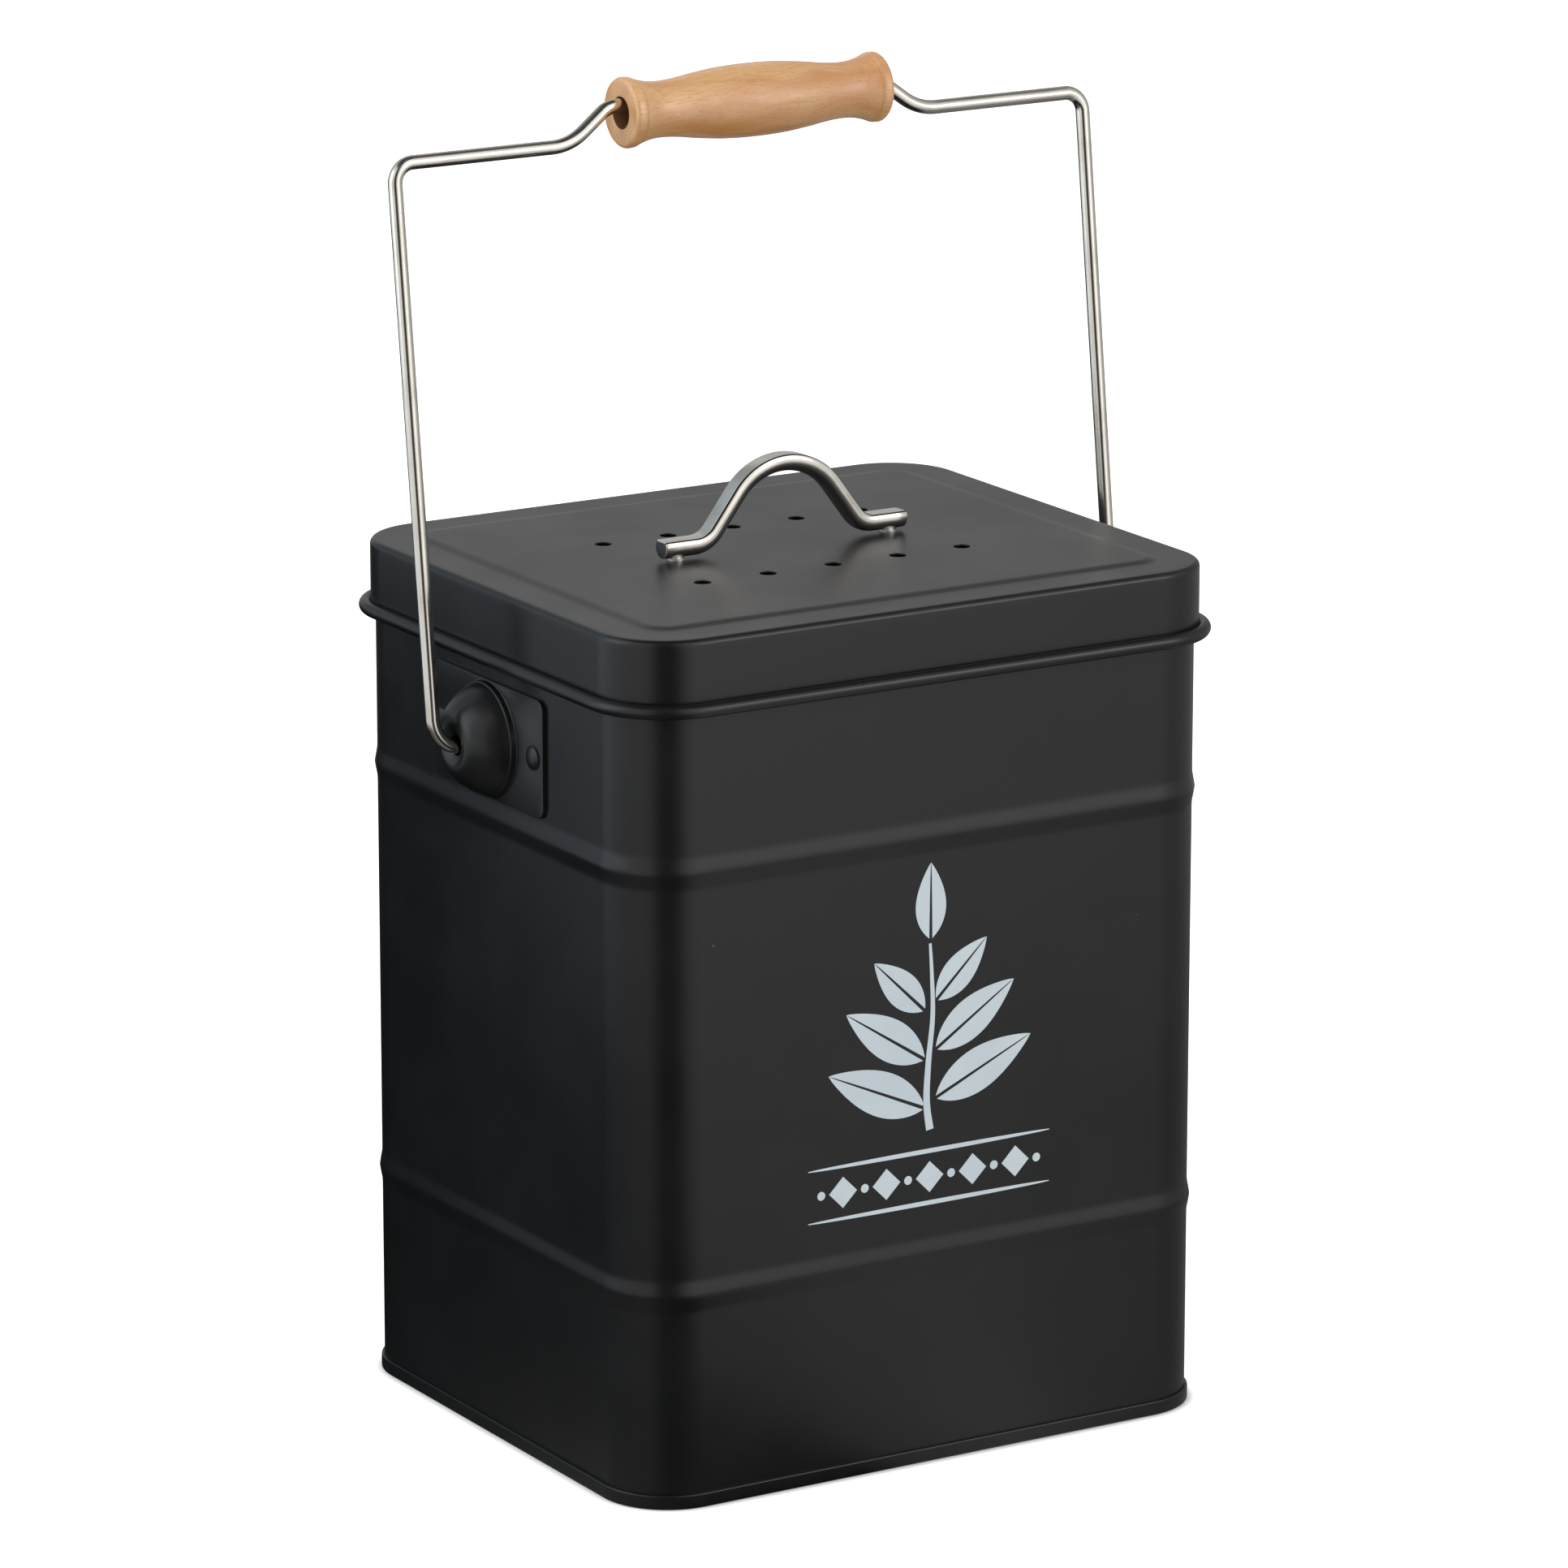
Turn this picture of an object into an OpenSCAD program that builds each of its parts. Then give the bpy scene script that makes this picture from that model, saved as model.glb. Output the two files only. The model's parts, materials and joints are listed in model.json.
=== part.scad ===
// Kitchen compost caddy: a sheet-steel bucket with a lift-off lid, a wire bail and a wooden grip.
// Millimetres. X runs left to right, Y front to back, Z up; the origin is under the middle of the bucket.

/* [Bucket] */
// Width of the bucket, left to right
body_w = 200; // [180:1:230]
// Depth of the bucket, front to back
body_d = 172.4; // [165:0.1:200]
// Outer radius of the upright corners
corner_r = 20.8; // [18:0.1:30]
// Height of the lid's flat edge above the floor
lid_top = 261.7; // [240:0.1:320]
// Thickness of the steel sheet
sheet = 0.6; // [0.5:0.05:0.8]
// Height of the seam round the bottom
seam_h = 4.4; // [3:0.1:6]
// How far the seam stands out from the wall
seam_out = 0.95; // [0.7:0.05:1.5]
// Underside of the bottom sheet above the floor
floor_z = 3.2; // [2:0.1:3.4]
// Height of the lower pressed ridge
low_ridge_z = 65; // [40:1:90]
// Height of the upper pressed ridge
high_ridge_z = 192.5; // [185:0.5:192.5]
// Height of a pressed ridge along the wall
ridge_w = 9; // [6:0.5:10]
// How far a ridge stands out from the wall
ridge_out = 0.7; // [0.4:0.1:1.2]
// Height of the doubled edge inside the rim
rim_fold = 5; // [3:0.5:8]

/* [Lid] */
// How far the lid's skirt stands out from the bucket wall
lid_over = 1.45; // [1.2:0.05:2.5]
// Height of the middle of the curled hem
hem_z = 241.2; // [236:0.1:245]
// Radius of the curled hem
hem_r = 2.1; // [1.8:0.1:2.5]
// Radius of the lid's top edge
lid_edge_r = 1.5; // [1:0.1:3]
// How far the middle of the lid is raised
panel_up = 0.7; // [0.4:0.1:1.5]
// Distance from the lid's edge to the foot of the raised middle
panel_inset = 12.5; // [9:0.5:14]
// Diameter of a vent hole
vent_d = 5; // [4:0.5:6]
// Distance between the vent holes of a row
vent_pitch = 22.5; // [18:0.5:26]
// Distance from the lid's middle to each row of vent holes
vent_row_y = 29; // [26:0.5:40]

/* [Lid handle] */
// Length of the lid handle
handle_len = 84; // [80:1:110]
// Length of the handle's straight flanks
flank_l = 13; // [8:0.5:14]
// Radius of the handle's crown
crown_r = 20; // [16:0.5:22]
// Bend radius between foot and flank
handle_bend_r = 9; // [6:0.5:9]
// Diameter of the round side of the handle's bar
handle_bar_d = 7; // [6:0.5:8]
// Thickness of the bar, measured across its flat
handle_bar_t = 5.4; // [4.5:0.1:6]
// Distance from the middle to each handle screw
screw_x = 37; // [32:0.5:39]
// Height of the collars under the handle's feet
spacer_h = 0.8; // [0.5:0.1:2]

/* [Ears] */
// Length of an ear plate, front to back
ear_l = 65; // [60:0.1:90]
// Height of an ear plate
ear_h = 35.6; // [30:0.1:35.6]
// Thickness of an ear plate
ear_t = 1.3; // [1:0.1:2]
// Corner radius of an ear plate
ear_corner_r = 3.5; // [2:0.5:6]
// Height of the middle of an ear
ear_z = 216.3; // [216.3:0.1:217]
// Diameter of the boss's hole, in which the wire rests low
boss_hole_d = 7.4; // [7.4:0.1:8]
// Radius of the domed boss where it meets the plate
boss_r = 17.2; // [15:0.1:17.5]
// Height of the boss's crest over the wall
boss_h = 13.3; // [11:0.1:13.5]
// Distance from the pivot to each rivet
rivet_y = 27; // [25:0.5:29]

/* [Bail] */
// Diameter of the bail wire
wire_d = 4.3; // [3:0.1:5]
// Distance from the middle to each leg of the bail
leg_x = 119; // [118:0.5:124]
// Distance from the pivot to the bail's cross bar
bar_v = 171.8; // [160:0.1:200]
// Rise of the cross bar where it runs through the grip
grip_rise = 10.2; // [9:0.6:13.8]
// Lean of the resting bail to the back in degrees
rest_tilt = 7; // [0:1:12]
// Length of the wooden grip
grip_l = 89; // [80:1:100]
// Largest diameter of the grip
grip_d = 22; // [20:0.5:26]
// Diameter of the grip's bore
grip_bore_d = 9.4; // [8:0.1:11]
// Distance that the grip has slid along the wire
grip_slide = 2; // [0:0.5:4]

/* [Hidden] */
$fn = 48;

steel_black = [0.17, 0.17, 0.18];
steel_bright = [0.78, 0.76, 0.72];
beech = [0.80, 0.64, 0.46];
charcoal = [0.10, 0.10, 0.10];

part_gap = 0.3;      // clearance between the lid and the bucket's rim
fit_gap = 0.05;      // clearance between pieces of one assembly
lap = 0.1;           // overlap that joins the solids of one piece

axis_x = body_w / 2 - corner_r;    // the corners' upright axes
axis_y = body_d / 2 - corner_r;
lid_r = corner_r + lid_over;
body_h = lid_top - sheet - part_gap;
panel_z = lid_top + panel_up;
wall_x = body_w / 2;

// Slopes that rise 3 over 4 and 4 over 3 keep every bend's end on an exact coordinate
gentle_slope = atan2(3, 4);
steep_slope = atan2(4, 3);

wedge_far = 60;      // reach of the wedges that cut the bends
handle_bend_x = handle_bend_r * 0.8 + flank_l * 0.6 + crown_r * 0.8;   // where a foot starts to bend up
handle_foot_l = handle_len / 2 - handle_bend_x;
handle_z = panel_z + spacer_h + handle_bar_t / 2;
screw_d = 4;
screw_depth = 3.2;
washer_d = 10;
spacer_d = 5.2;
washer_t = 0.8;

// Bail geometry
wire_end_x = wall_x + 3.5;
pivot_z = ear_z - boss_hole_d / 2 + wire_d / 2 + 0.35;   // the wire's axis, a little above the hole's lower edge
foot_bend_r = 9;
shoulder_r = 6;
rise_top_r = 8;
rise_foot_r = 22;
grip_run = 44;       // half length of the raised middle of the cross bar
rise_l = (grip_rise - (rise_top_r + rise_foot_r) * 0.2) / 0.6;
rise_run = (rise_top_r + rise_foot_r) * 0.6 + rise_l * 0.8;
grip_v = bar_v + grip_rise - (grip_bore_d - wire_d) / 2 + part_gap;

rivet_shank_d = 4;
rivet_head_d = 7.4;
rivet_head_h = 1.7;

filter_w = 120;
filter_d = 82;
filter_t = 7;
filter_z = lid_top - sheet - filter_t - 0.2;   // underside of the filter
clip_w = 16;
clip_x = 44;
clip_lip = 6;

function arc(cx, cy, r, from, to, steps = 6) =
    [for (i = [0:steps]) let (a = from + (to - from) * i / steps) [cx + r * cos(a), cy + r * sin(a)]];

// Sweeps a profile round the bucket's plan: x is the distance from a corner's axis, y is the height
module round_the_bucket() {
    for (half = [0, 180]) rotate([0, 0, half]) {
        translate([axis_x, axis_y, 0]) rotate([90, 0, 0]) linear_extrude(2 * axis_y) children();
        translate([axis_x, axis_y, 0]) rotate_extrude(angle = 90) children();
        translate([-axis_x, axis_y, 0]) rotate([90, 0, 90]) linear_extrude(2 * axis_x) children();
        translate([-axis_x, axis_y, 0]) rotate([0, 0, 90]) rotate_extrude(angle = 90) children();
    }
}

// Fills the plan between the corners' axes
module middle_slab(z, t) {
    translate([-axis_x, -axis_y, z]) cube([2 * axis_x, 2 * axis_y, t]);
}

// The plan of a bend of a degrees, cut along lines through exact coordinates
module wedge(a) {
    far_corner = a == 90 ? [0, wedge_far] : [wedge_far, wedge_far * (a == gentle_slope ? 3 / 4 : 4 / 3)];
    polygon(concat([[0, 0], [wedge_far, 0]], a == 90 ? [[wedge_far, wedge_far]] : [], [far_corner]));
}

// Runs a bar's profile from the origin along z through a list of steps: [length] is a straight stretch, and
// [radius, angle, side] is a bend towards +x (side = 1) or -x (side = -1)
module run(steps, i = 0) {
    if (i < len(steps)) {
        step = steps[i];
        if (len(step) == 1) {
            linear_extrude(step[0]) children();
            translate([0, 0, step[0]]) run(steps, i + 1) children();
        } else {
            r = step[0];
            a = step[1];
            turn = step[2] > 0 ? 0 : 180;
            rotate([0, 0, turn]) {
                translate([r, 0, 0]) rotate([90, 0, 180]) intersection() {
                    rotate_extrude() translate([r, 0]) mirror([1, 0]) rotate(turn) children();
                    linear_extrude(wedge_far, center = true) wedge(a);
                }
                translate([r * (1 - cos(a)), 0, r * sin(a)]) rotate([0, a, 0]) rotate([0, 0, turn])
                    run(steps, i + 1) children();
            }
        }
    }
}

function wall_line(inset) = let (r = corner_r - inset) concat(
    [[r, sheet + fit_gap]],
    [for (z = [low_ridge_z, high_ridge_z], p = [[0, -0.5], [ridge_out, -0.22], [ridge_out, 0.22], [0, 0.5]])
        [r + p[0], z + p[1] * ridge_w]],
    [[r, body_h]]);

module wall_profile() {
    outer = wall_line(0);
    inner = wall_line(sheet);
    polygon(concat(outer, [for (i = [len(inner) - 1:-1:0]) inner[i]]));
    translate([corner_r - 2 * sheet, body_h - rim_fold]) square([sheet + lap, rim_fold]);
}

module body_shell() {
    seam_strip_w = 8;
    color(steel_black) difference() {
        union() {
            round_the_bucket() wall_profile();
            // Lock seam inside the back wall
            translate([-seam_strip_w / 2, body_d / 2 - 2 * sheet, 2 * seam_h])
                cube([seam_strip_w, sheet + lap, body_h - rim_fold - 3 * seam_h]);
        }
        for (side = [-1, 1], y = [-rivet_y, rivet_y])
            translate([side * wall_x, y, ear_z]) rotate([0, 90, 0])
                cylinder(d = rivet_shank_d + 2 * fit_gap, h = 6 * sheet, center = true);
    }
}

module base_profile() {
    inner_x = corner_r - sheet - fit_gap;
    // Outer lip, channel bottom, inner lip and bottom sheet
    translate([corner_r + fit_gap, 0]) square([seam_out - fit_gap, seam_h]);
    translate([inner_x - sheet, 0]) square([corner_r + seam_out - inner_x + sheet, sheet]);
    translate([inner_x - sheet, 0]) square([sheet, floor_z + sheet]);
    translate([0, floor_z]) square([inner_x, sheet]);
}

module base_pan() {
    color(steel_black) {
        round_the_bucket() base_profile();
        middle_slab(floor_z, sheet);
    }
}

module ear_plan() {
    for (y = [-1, 1], z = [-1, 1])
        translate([z * (ear_h / 2 - ear_corner_r), y * (ear_l / 2 - ear_corner_r)]) circle(r = ear_corner_r);
    square([ear_h, ear_l - 2 * ear_corner_r], center = true);
    square([ear_h - 2 * ear_corner_r, ear_l], center = true);
}

// The boss's outline from its upright root over its crest to the hole's lip
function boss_line(r, h, hole_r) = [[r, 0], [r, h * 0.22], [r * 0.965, h * 0.315], [r * 0.9, h * 0.48],
    [r * 0.785, h * 0.695], [r * 0.64, h * 0.865], [r * 0.52, h * 0.955], [r * 0.42, h], [r * 0.33, h * 0.98],
    [hole_r, h * 0.88]];

module boss() {
    outer = boss_line(boss_r, boss_h, boss_hole_d / 2);
    inner = boss_line(boss_r - ear_t, boss_h - ear_t, boss_hole_d / 2);
    rotate_extrude() polygon(concat(outer, [for (i = [len(inner) - 1:-1:0]) inner[i]]));
}

// An ear with its plate's back on the plane z = 0 and its boss on +z
module ear() {
    color(steel_black) {
        difference() {
            linear_extrude(ear_t) ear_plan();
            translate([0, 0, -1]) cylinder(r = boss_r - ear_t / 2, h = ear_t + 2);
            for (y = [-rivet_y, rivet_y])
                translate([0, y, -1]) cylinder(d = rivet_shank_d + 2 * fit_gap, h = ear_t + 2);
        }
        boss();
    }
}

module place_on_side(side, y = 0) {
    translate([side * (wall_x + fit_gap), y, ear_z]) rotate([0, side * 90, 0]) children();
}

module left_ear() {
    place_on_side(-1) ear();
}

module right_ear() {
    place_on_side(1) ear();
}

// A rivet through an ear plate and the wall, its formed head outside
module rivet() {
    tail_d = 6;
    tail_h = 1.2;
    tail_z = -sheet - 2 * fit_gap;
    color(steel_black) {
        translate([0, 0, tail_z - lap]) cylinder(d = rivet_shank_d, h = ear_t - tail_z + 2 * lap);
        translate([0, 0, tail_z - tail_h]) cylinder(d = tail_d, h = tail_h);
        translate([0, 0, ear_t + fit_gap]) rotate_extrude()
            polygon([[0, 0], [rivet_head_d / 2, 0], [rivet_head_d * 0.46, rivet_head_h * 0.5],
                [rivet_head_d * 0.34, rivet_head_h * 0.85], [rivet_head_d * 0.15, rivet_head_h], [0, rivet_head_h]]);
    }
}

module left_ear_front_rivet() {
    place_on_side(-1, -rivet_y) rivet();
}

module left_ear_back_rivet() {
    place_on_side(-1, rivet_y) rivet();
}

module right_ear_front_rivet() {
    place_on_side(1, -rivet_y) rivet();
}

module right_ear_back_rivet() {
    place_on_side(1, rivet_y) rivet();
}

// Stands its children in the resting bail's plane: x to the right, y up from the pivot
module bail_plane() {
    translate([0, 0, pivot_z]) rotate([90 - rest_tilt, 0, 0]) children();
}

module bail_wire() {
    end_l = leg_x - foot_bend_r - wire_end_x;
    leg_l = bar_v - foot_bend_r - shoulder_r;
    bar_l = leg_x - shoulder_r - grip_run - rise_run;
    half = [[end_l], [foot_bend_r, 90, 1], [leg_l], [shoulder_r, 90, 1], [bar_l], [rise_foot_r, gentle_slope, -1],
        [rise_l], [rise_top_r, gentle_slope, 1]];
    other_half = [for (i = [len(half) - 1:-1:0]) half[i]];
    color(steel_bright) bail_plane() translate([-wire_end_x, 0, 0]) rotate([-90, 0, 0]) rotate([0, -90, 0])
        run(concat(half, [[2 * grip_run]], other_half)) circle(d = wire_d);
}

module wood_grip() {
    half = grip_l / 2;
    bore_r = grip_bore_d / 2;
    belly_r = grip_d / 2;
    neck_r = belly_r * 0.765;
    end_r = belly_r * 0.965;
    side = [[0, belly_r], [half * 0.18, belly_r * 0.98], [half * 0.36, belly_r * 0.92], [half * 0.54, neck_r * 1.07],
        [half * 0.63, neck_r * 1.016], [half * 0.72, neck_r], [half * 0.79, neck_r * 1.025], [half * 0.835, neck_r * 1.07],
        [half * 0.88, end_r * 0.9], [half * 0.925, end_r * 0.975], [half * 0.965, end_r], [half, end_r * 0.92]];
    mirrored = [for (i = [len(side) - 1:-1:1]) [-side[i][0], side[i][1]]];
    outline = [for (p = concat(mirrored, side)) [p[1], p[0]]];
    color(beech) bail_plane() translate([grip_slide, grip_v, 0]) rotate([0, 90, 0]) rotate_extrude()
        polygon(concat(outline, [[bore_r, half], [bore_r, -half]]));
}

module lid_profile() {
    foot_x = lid_r - panel_inset;
    rise_x = foot_x - 4;
    top = concat([[0, panel_z], [rise_x, panel_z], [foot_x, lid_top]],
        arc(lid_r - lid_edge_r, lid_top - lid_edge_r, lid_edge_r, 90, 0), [[lid_r, hem_z]]);
    under = concat([[lid_r - sheet, hem_z]],
        arc(lid_r - lid_edge_r, lid_top - lid_edge_r, lid_edge_r - sheet, 0, 90),
        [[foot_x, lid_top - sheet], [rise_x, panel_z - sheet], [0, panel_z - sheet]]);
    hem_x = lid_r - sheet + hem_r;
    polygon(concat(top, under));
    difference() {
        translate([hem_x, hem_z]) circle(r = hem_r);
        translate([hem_x, hem_z]) circle(r = hem_r - sheet);
        translate([hem_x - 2 * hem_r, hem_z]) square([2 * hem_r - hem_r / 2, 2 * hem_r]);
    }
}

module lid_shell() {
    color(steel_black) difference() {
        union() {
            round_the_bucket() lid_profile();
            middle_slab(panel_z - sheet, sheet);
        }
        for (i = [-2:2], y = [-vent_row_y, vent_row_y])
            translate([i * vent_pitch, y, lid_top - 2]) cylinder(d = vent_d, h = 6);
        for (x = [-screw_x, screw_x])
            translate([x, 0, lid_top - 2]) cylinder(d = screw_d + 2 * fit_gap, h = 6);
    }
}

// Round bar with a flat along its outer side, at +x
module handle_bar() {
    difference() {
        translate([(handle_bar_d - handle_bar_t) / 2, 0]) circle(d = handle_bar_d);
        translate([handle_bar_t / 2, -handle_bar_d]) square([handle_bar_d, 2 * handle_bar_d]);
    }
}

module lid_handle() {
    half = [[handle_foot_l], [handle_bend_r, steep_slope, 1], [flank_l], [crown_r, steep_slope, -1]];
    other_half = [for (i = [len(half) - 1:-1:0]) half[i]];
    color(steel_bright) difference() {
        translate([-handle_len / 2, 0, handle_z]) rotate([0, -90, 180])
            run(concat(half, other_half)) handle_bar();
        for (x = [-screw_x, screw_x])
            translate([x, 0, handle_z - handle_bar_t])
                cylinder(d = screw_d + 2 * fit_gap, h = handle_bar_t / 2 + screw_depth + fit_gap);
    }
}

module spacer(x) {
    color(steel_bright) translate([x, 0, panel_z + fit_gap]) difference() {
        cylinder(d = spacer_d, h = spacer_h - 2 * fit_gap);
        translate([0, 0, -1]) cylinder(d = screw_d + 2 * fit_gap, h = spacer_h + 2);
    }
}

module handle_spacer_left() {
    spacer(-screw_x);
}

module handle_spacer_right() {
    spacer(screw_x);
}

washer_z = panel_z - sheet - fit_gap - washer_t;   // underside of a washer

module washer(x) {
    color(steel_bright) translate([x, 0, washer_z]) difference() {
        cylinder(d = washer_d, h = washer_t);
        translate([0, 0, -1]) cylinder(d = screw_d + 2 * fit_gap, h = washer_t + 2);
    }
}

module screw_washer_left() {
    washer(-screw_x);
}

module screw_washer_right() {
    washer(screw_x);
}

// A pan-head screw from below, with a cross slot in its head
module screw(x) {
    head_d = 7.6;
    head_h = 2.6;
    head_z = washer_z - fit_gap - head_h;
    tip_z = handle_z - handle_bar_t / 2 + screw_depth - fit_gap;
    color(steel_bright) translate([x, 0, head_z]) difference() {
        union() {
            cylinder(d = head_d, h = head_h);
            cylinder(d = screw_d, h = tip_z - head_z);
        }
        for (turn = [0, 90]) rotate([0, 0, turn])
            translate([-2.2, -0.5, -1]) cube([4.4, 1, 2.4]);
    }
}

module handle_screw_left() {
    screw(-screw_x);
}

module handle_screw_right() {
    screw(screw_x);
}

module filter_pad() {
    relief_d = washer_d + 4;
    color(charcoal) difference() {
        translate([-filter_w / 2, -filter_d / 2, filter_z]) cube([filter_w, filter_d, filter_t]);
        for (x = [-screw_x, screw_x])
            translate([x, 0, filter_z - 1]) cylinder(d = relief_d, h = filter_t + 2);
    }
}

// A bent tab welded under the lid, with a lip under the filter's edge
module clip(side_x, side_y) {
    tab_y = filter_d / 2 + fit_gap + 0.3;
    top_z = panel_z - sheet - fit_gap;
    bottom_z = filter_z - fit_gap - sheet;
    color(steel_bright) translate([side_x * clip_x - clip_w / 2, 0, 0]) mirror([0, side_y < 0 ? 1 : 0, 0]) {
        translate([0, tab_y, top_z - sheet]) cube([clip_w, clip_lip + sheet, sheet]);
        translate([0, tab_y, bottom_z]) cube([clip_w, sheet, top_z - bottom_z]);
        translate([0, tab_y - clip_lip, bottom_z]) cube([clip_w, clip_lip + sheet, sheet]);
    }
}

module front_left_clip() {
    clip(-1, -1);
}

module front_right_clip() {
    clip(1, -1);
}

module back_left_clip() {
    clip(-1, 1);
}

module back_right_clip() {
    clip(1, 1);
}

body_shell();
base_pan();
left_ear();
right_ear();
left_ear_front_rivet();
left_ear_back_rivet();
right_ear_front_rivet();
right_ear_back_rivet();
bail_wire();
wood_grip();
lid_shell();
lid_handle();
handle_spacer_left();
handle_spacer_right();
handle_screw_left();
handle_screw_right();
screw_washer_left();
screw_washer_right();
filter_pad();
front_left_clip();
front_right_clip();
back_left_clip();
back_right_clip();
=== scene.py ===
"""Kitchen compost caddy: a coated steel bucket with a lift-off lid, a wire bail and a turned wooden grip."""

import json
import logging
import math
from dataclasses import dataclass
from enum import Enum
from typing import Sequence

import bmesh
import bpy
from mathutils import Matrix, Vector


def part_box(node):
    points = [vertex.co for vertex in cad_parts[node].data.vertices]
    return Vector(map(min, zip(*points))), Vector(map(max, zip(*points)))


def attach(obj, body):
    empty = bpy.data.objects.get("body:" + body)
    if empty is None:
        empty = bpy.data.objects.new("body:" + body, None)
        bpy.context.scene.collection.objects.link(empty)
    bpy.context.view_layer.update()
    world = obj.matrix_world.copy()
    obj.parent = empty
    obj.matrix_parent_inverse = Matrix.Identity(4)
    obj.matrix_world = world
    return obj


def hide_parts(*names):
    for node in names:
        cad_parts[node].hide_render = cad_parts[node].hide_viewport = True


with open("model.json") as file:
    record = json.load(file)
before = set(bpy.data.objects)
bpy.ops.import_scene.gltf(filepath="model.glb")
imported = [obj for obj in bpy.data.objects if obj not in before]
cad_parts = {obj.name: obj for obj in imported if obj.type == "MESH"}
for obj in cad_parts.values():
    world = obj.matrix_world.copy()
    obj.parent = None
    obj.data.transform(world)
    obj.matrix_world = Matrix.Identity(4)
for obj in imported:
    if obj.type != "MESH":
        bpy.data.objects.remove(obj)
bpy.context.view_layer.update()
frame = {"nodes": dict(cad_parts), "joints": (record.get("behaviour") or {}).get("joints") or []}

MM = 0.001
LOG = logging.getLogger("caddy")
Point = tuple[float, float]
Rgb = tuple[float, float, float]
Triple = tuple[float, float, float]


class Body(Enum):
    """The bodies that move against each other."""

    CADDY = "caddy"
    LID = "lid"
    BAIL = "bail"
    GRIP = "grip"


class Slot(Enum):
    """The finishes that the pieces take."""

    ENAMEL = "black_enamel"
    BAIL_STEEL = "bail_steel"
    HANDLE_STEEL = "handle_steel"
    WOOD = "beech_wood"
    FELT = "charcoal_felt"


# --------------------------------------------------------------------------------------------------
# Mesh building
# --------------------------------------------------------------------------------------------------


def linked(name: str, data: bpy.types.ID) -> bpy.types.Object:
    """Returns a new object in the scene that holds the data.

    Args:
        name: The object's name.
        data: Its mesh, lamp or camera.

    Returns:
        The object.
    """
    obj = bpy.data.objects.new(name, data)
    bpy.context.collection.objects.link(obj)
    return obj


def bare_mesh(name: str, points: Sequence, edges: Sequence = (), faces: Sequence = ()) -> bpy.types.Mesh:
    """Returns a mesh made from plain lists, in metres.

    Args:
        name: The mesh's name.
        points: Its points.
        edges: Its loose edges, as pairs of points.
        faces: Its faces, as rows of points.

    Returns:
        The mesh.
    """
    mesh = bpy.data.meshes.new(name)
    mesh.from_pydata(points, edges, faces)
    return mesh


def mark_creases(bm: bmesh.types.BMesh, crease: float) -> None:
    """Makes a mesh shade smoothly, with its edges past an angle in degrees kept sharp.

    Args:
        bm: The mesh.
        crease: The angle.
    """
    for edge in bm.edges:
        edge.smooth = len(edge.link_faces) == 2 and edge.calc_face_angle(0) < math.radians(crease)
    for face in bm.faces:
        face.smooth = True


def dress(piece: bpy.types.Object, body: Body, slot: Slot, nodes: Sequence[str],
          *materials: bpy.types.Material) -> bpy.types.Object:
    """Gives a finished piece its materials and fixes it to its body.

    Args:
        piece: The piece.
        body: The body that it rides on.
        slot: Its finish; not used.
        nodes: The nodes that it stands for, if any.
        materials: The materials that it doesn't have yet.

    Returns:
        The same piece.
    """
    for material in materials:
        piece.data.materials.append(material)
    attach(piece, body.value)
    if nodes:
        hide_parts(*nodes)
    return piece


def arc(centre: Point, radius: float, start: float, end: float, steps: int) -> list[Point]:
    """Returns the points of a circular arc.

    Args:
        centre: The circle's centre.
        radius: The circle's radius.
        start: The first point's angle in degrees.
        end: The last point's angle in degrees.
        steps: The number of chords.

    Returns:
        The arc's points, both ends included.
    """
    angles = [math.radians(start + (end - start) * i / steps) for i in range(steps + 1)]
    return [(centre[0] + radius * math.cos(a), centre[1] + radius * math.sin(a)) for a in angles]


def smooth_line(points: Sequence[Point], steps: int) -> list[Point]:
    """Returns a smooth curve through points, with a number of steps between each two of them.

    Args:
        points: The points that the curve passes through.
        steps: The number of chords between two of them.

    Returns:
        The curve's points, both ends included.
    """
    ends = [points[0], *points, points[-1]]
    line: list[Point] = []
    for p0, p1, p2, p3 in zip(ends, ends[1:], ends[2:], ends[3:]):
        for i in range(steps):
            t = i / steps
            line.append(tuple(
                0.5 * (2 * b + (c - a) * t + (2 * a - 5 * b + 4 * c - d) * t**2
                       + (3 * b - a - 3 * c + d) * t**3)
                for a, b, c, d in zip(p0, p1, p2, p3)))
    return [*line, points[-1]]


@dataclass(frozen=True)
class RoundedPlan:
    """A rectangle with round corners, given by the axes of its corners, in millimetres."""

    axis_x: float
    axis_y: float
    corner_steps: int = 16
    support: float = 0.5

    def ring(self, radius: float, height: float) -> list[Vector]:
        """Returns the plan's points at a distance from the corners' axes.

        Args:
            radius: The corners' radius there.
            height: The points' third coordinate.

        Returns:
            The points, in order round the plan.
        """
        signs = ((1, 1), (-1, 1), (-1, -1), (1, -1))
        points: list[Vector] = []
        for quadrant, (sx, sy) in enumerate(signs):
            centre = (sx * self.axis_x, sy * self.axis_y)
            corner = arc(centre, radius, 90 * quadrant, 90 * quadrant + 90, self.corner_steps)
            points += [Vector((x, y, height)) for x, y in corner]
            nx, ny = signs[(quadrant + 1) % 4]
            start = points[-1]
            travel = Vector(((nx - sx) * self.axis_x, (ny - sy) * self.axis_y, 0))
            near = self.support / travel.length
            points += [start + travel * t for t in (near, 0.25, 0.5, 0.75, 1 - near)]
        return points


def circle(centre: Point, radius: float, height: float, steps: int = 48) -> list[Vector]:
    """Returns a level circle's points."""
    return [Vector((x, y, height)) for x, y in arc(centre, radius, 0, 360, steps)[:-1]]


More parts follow.
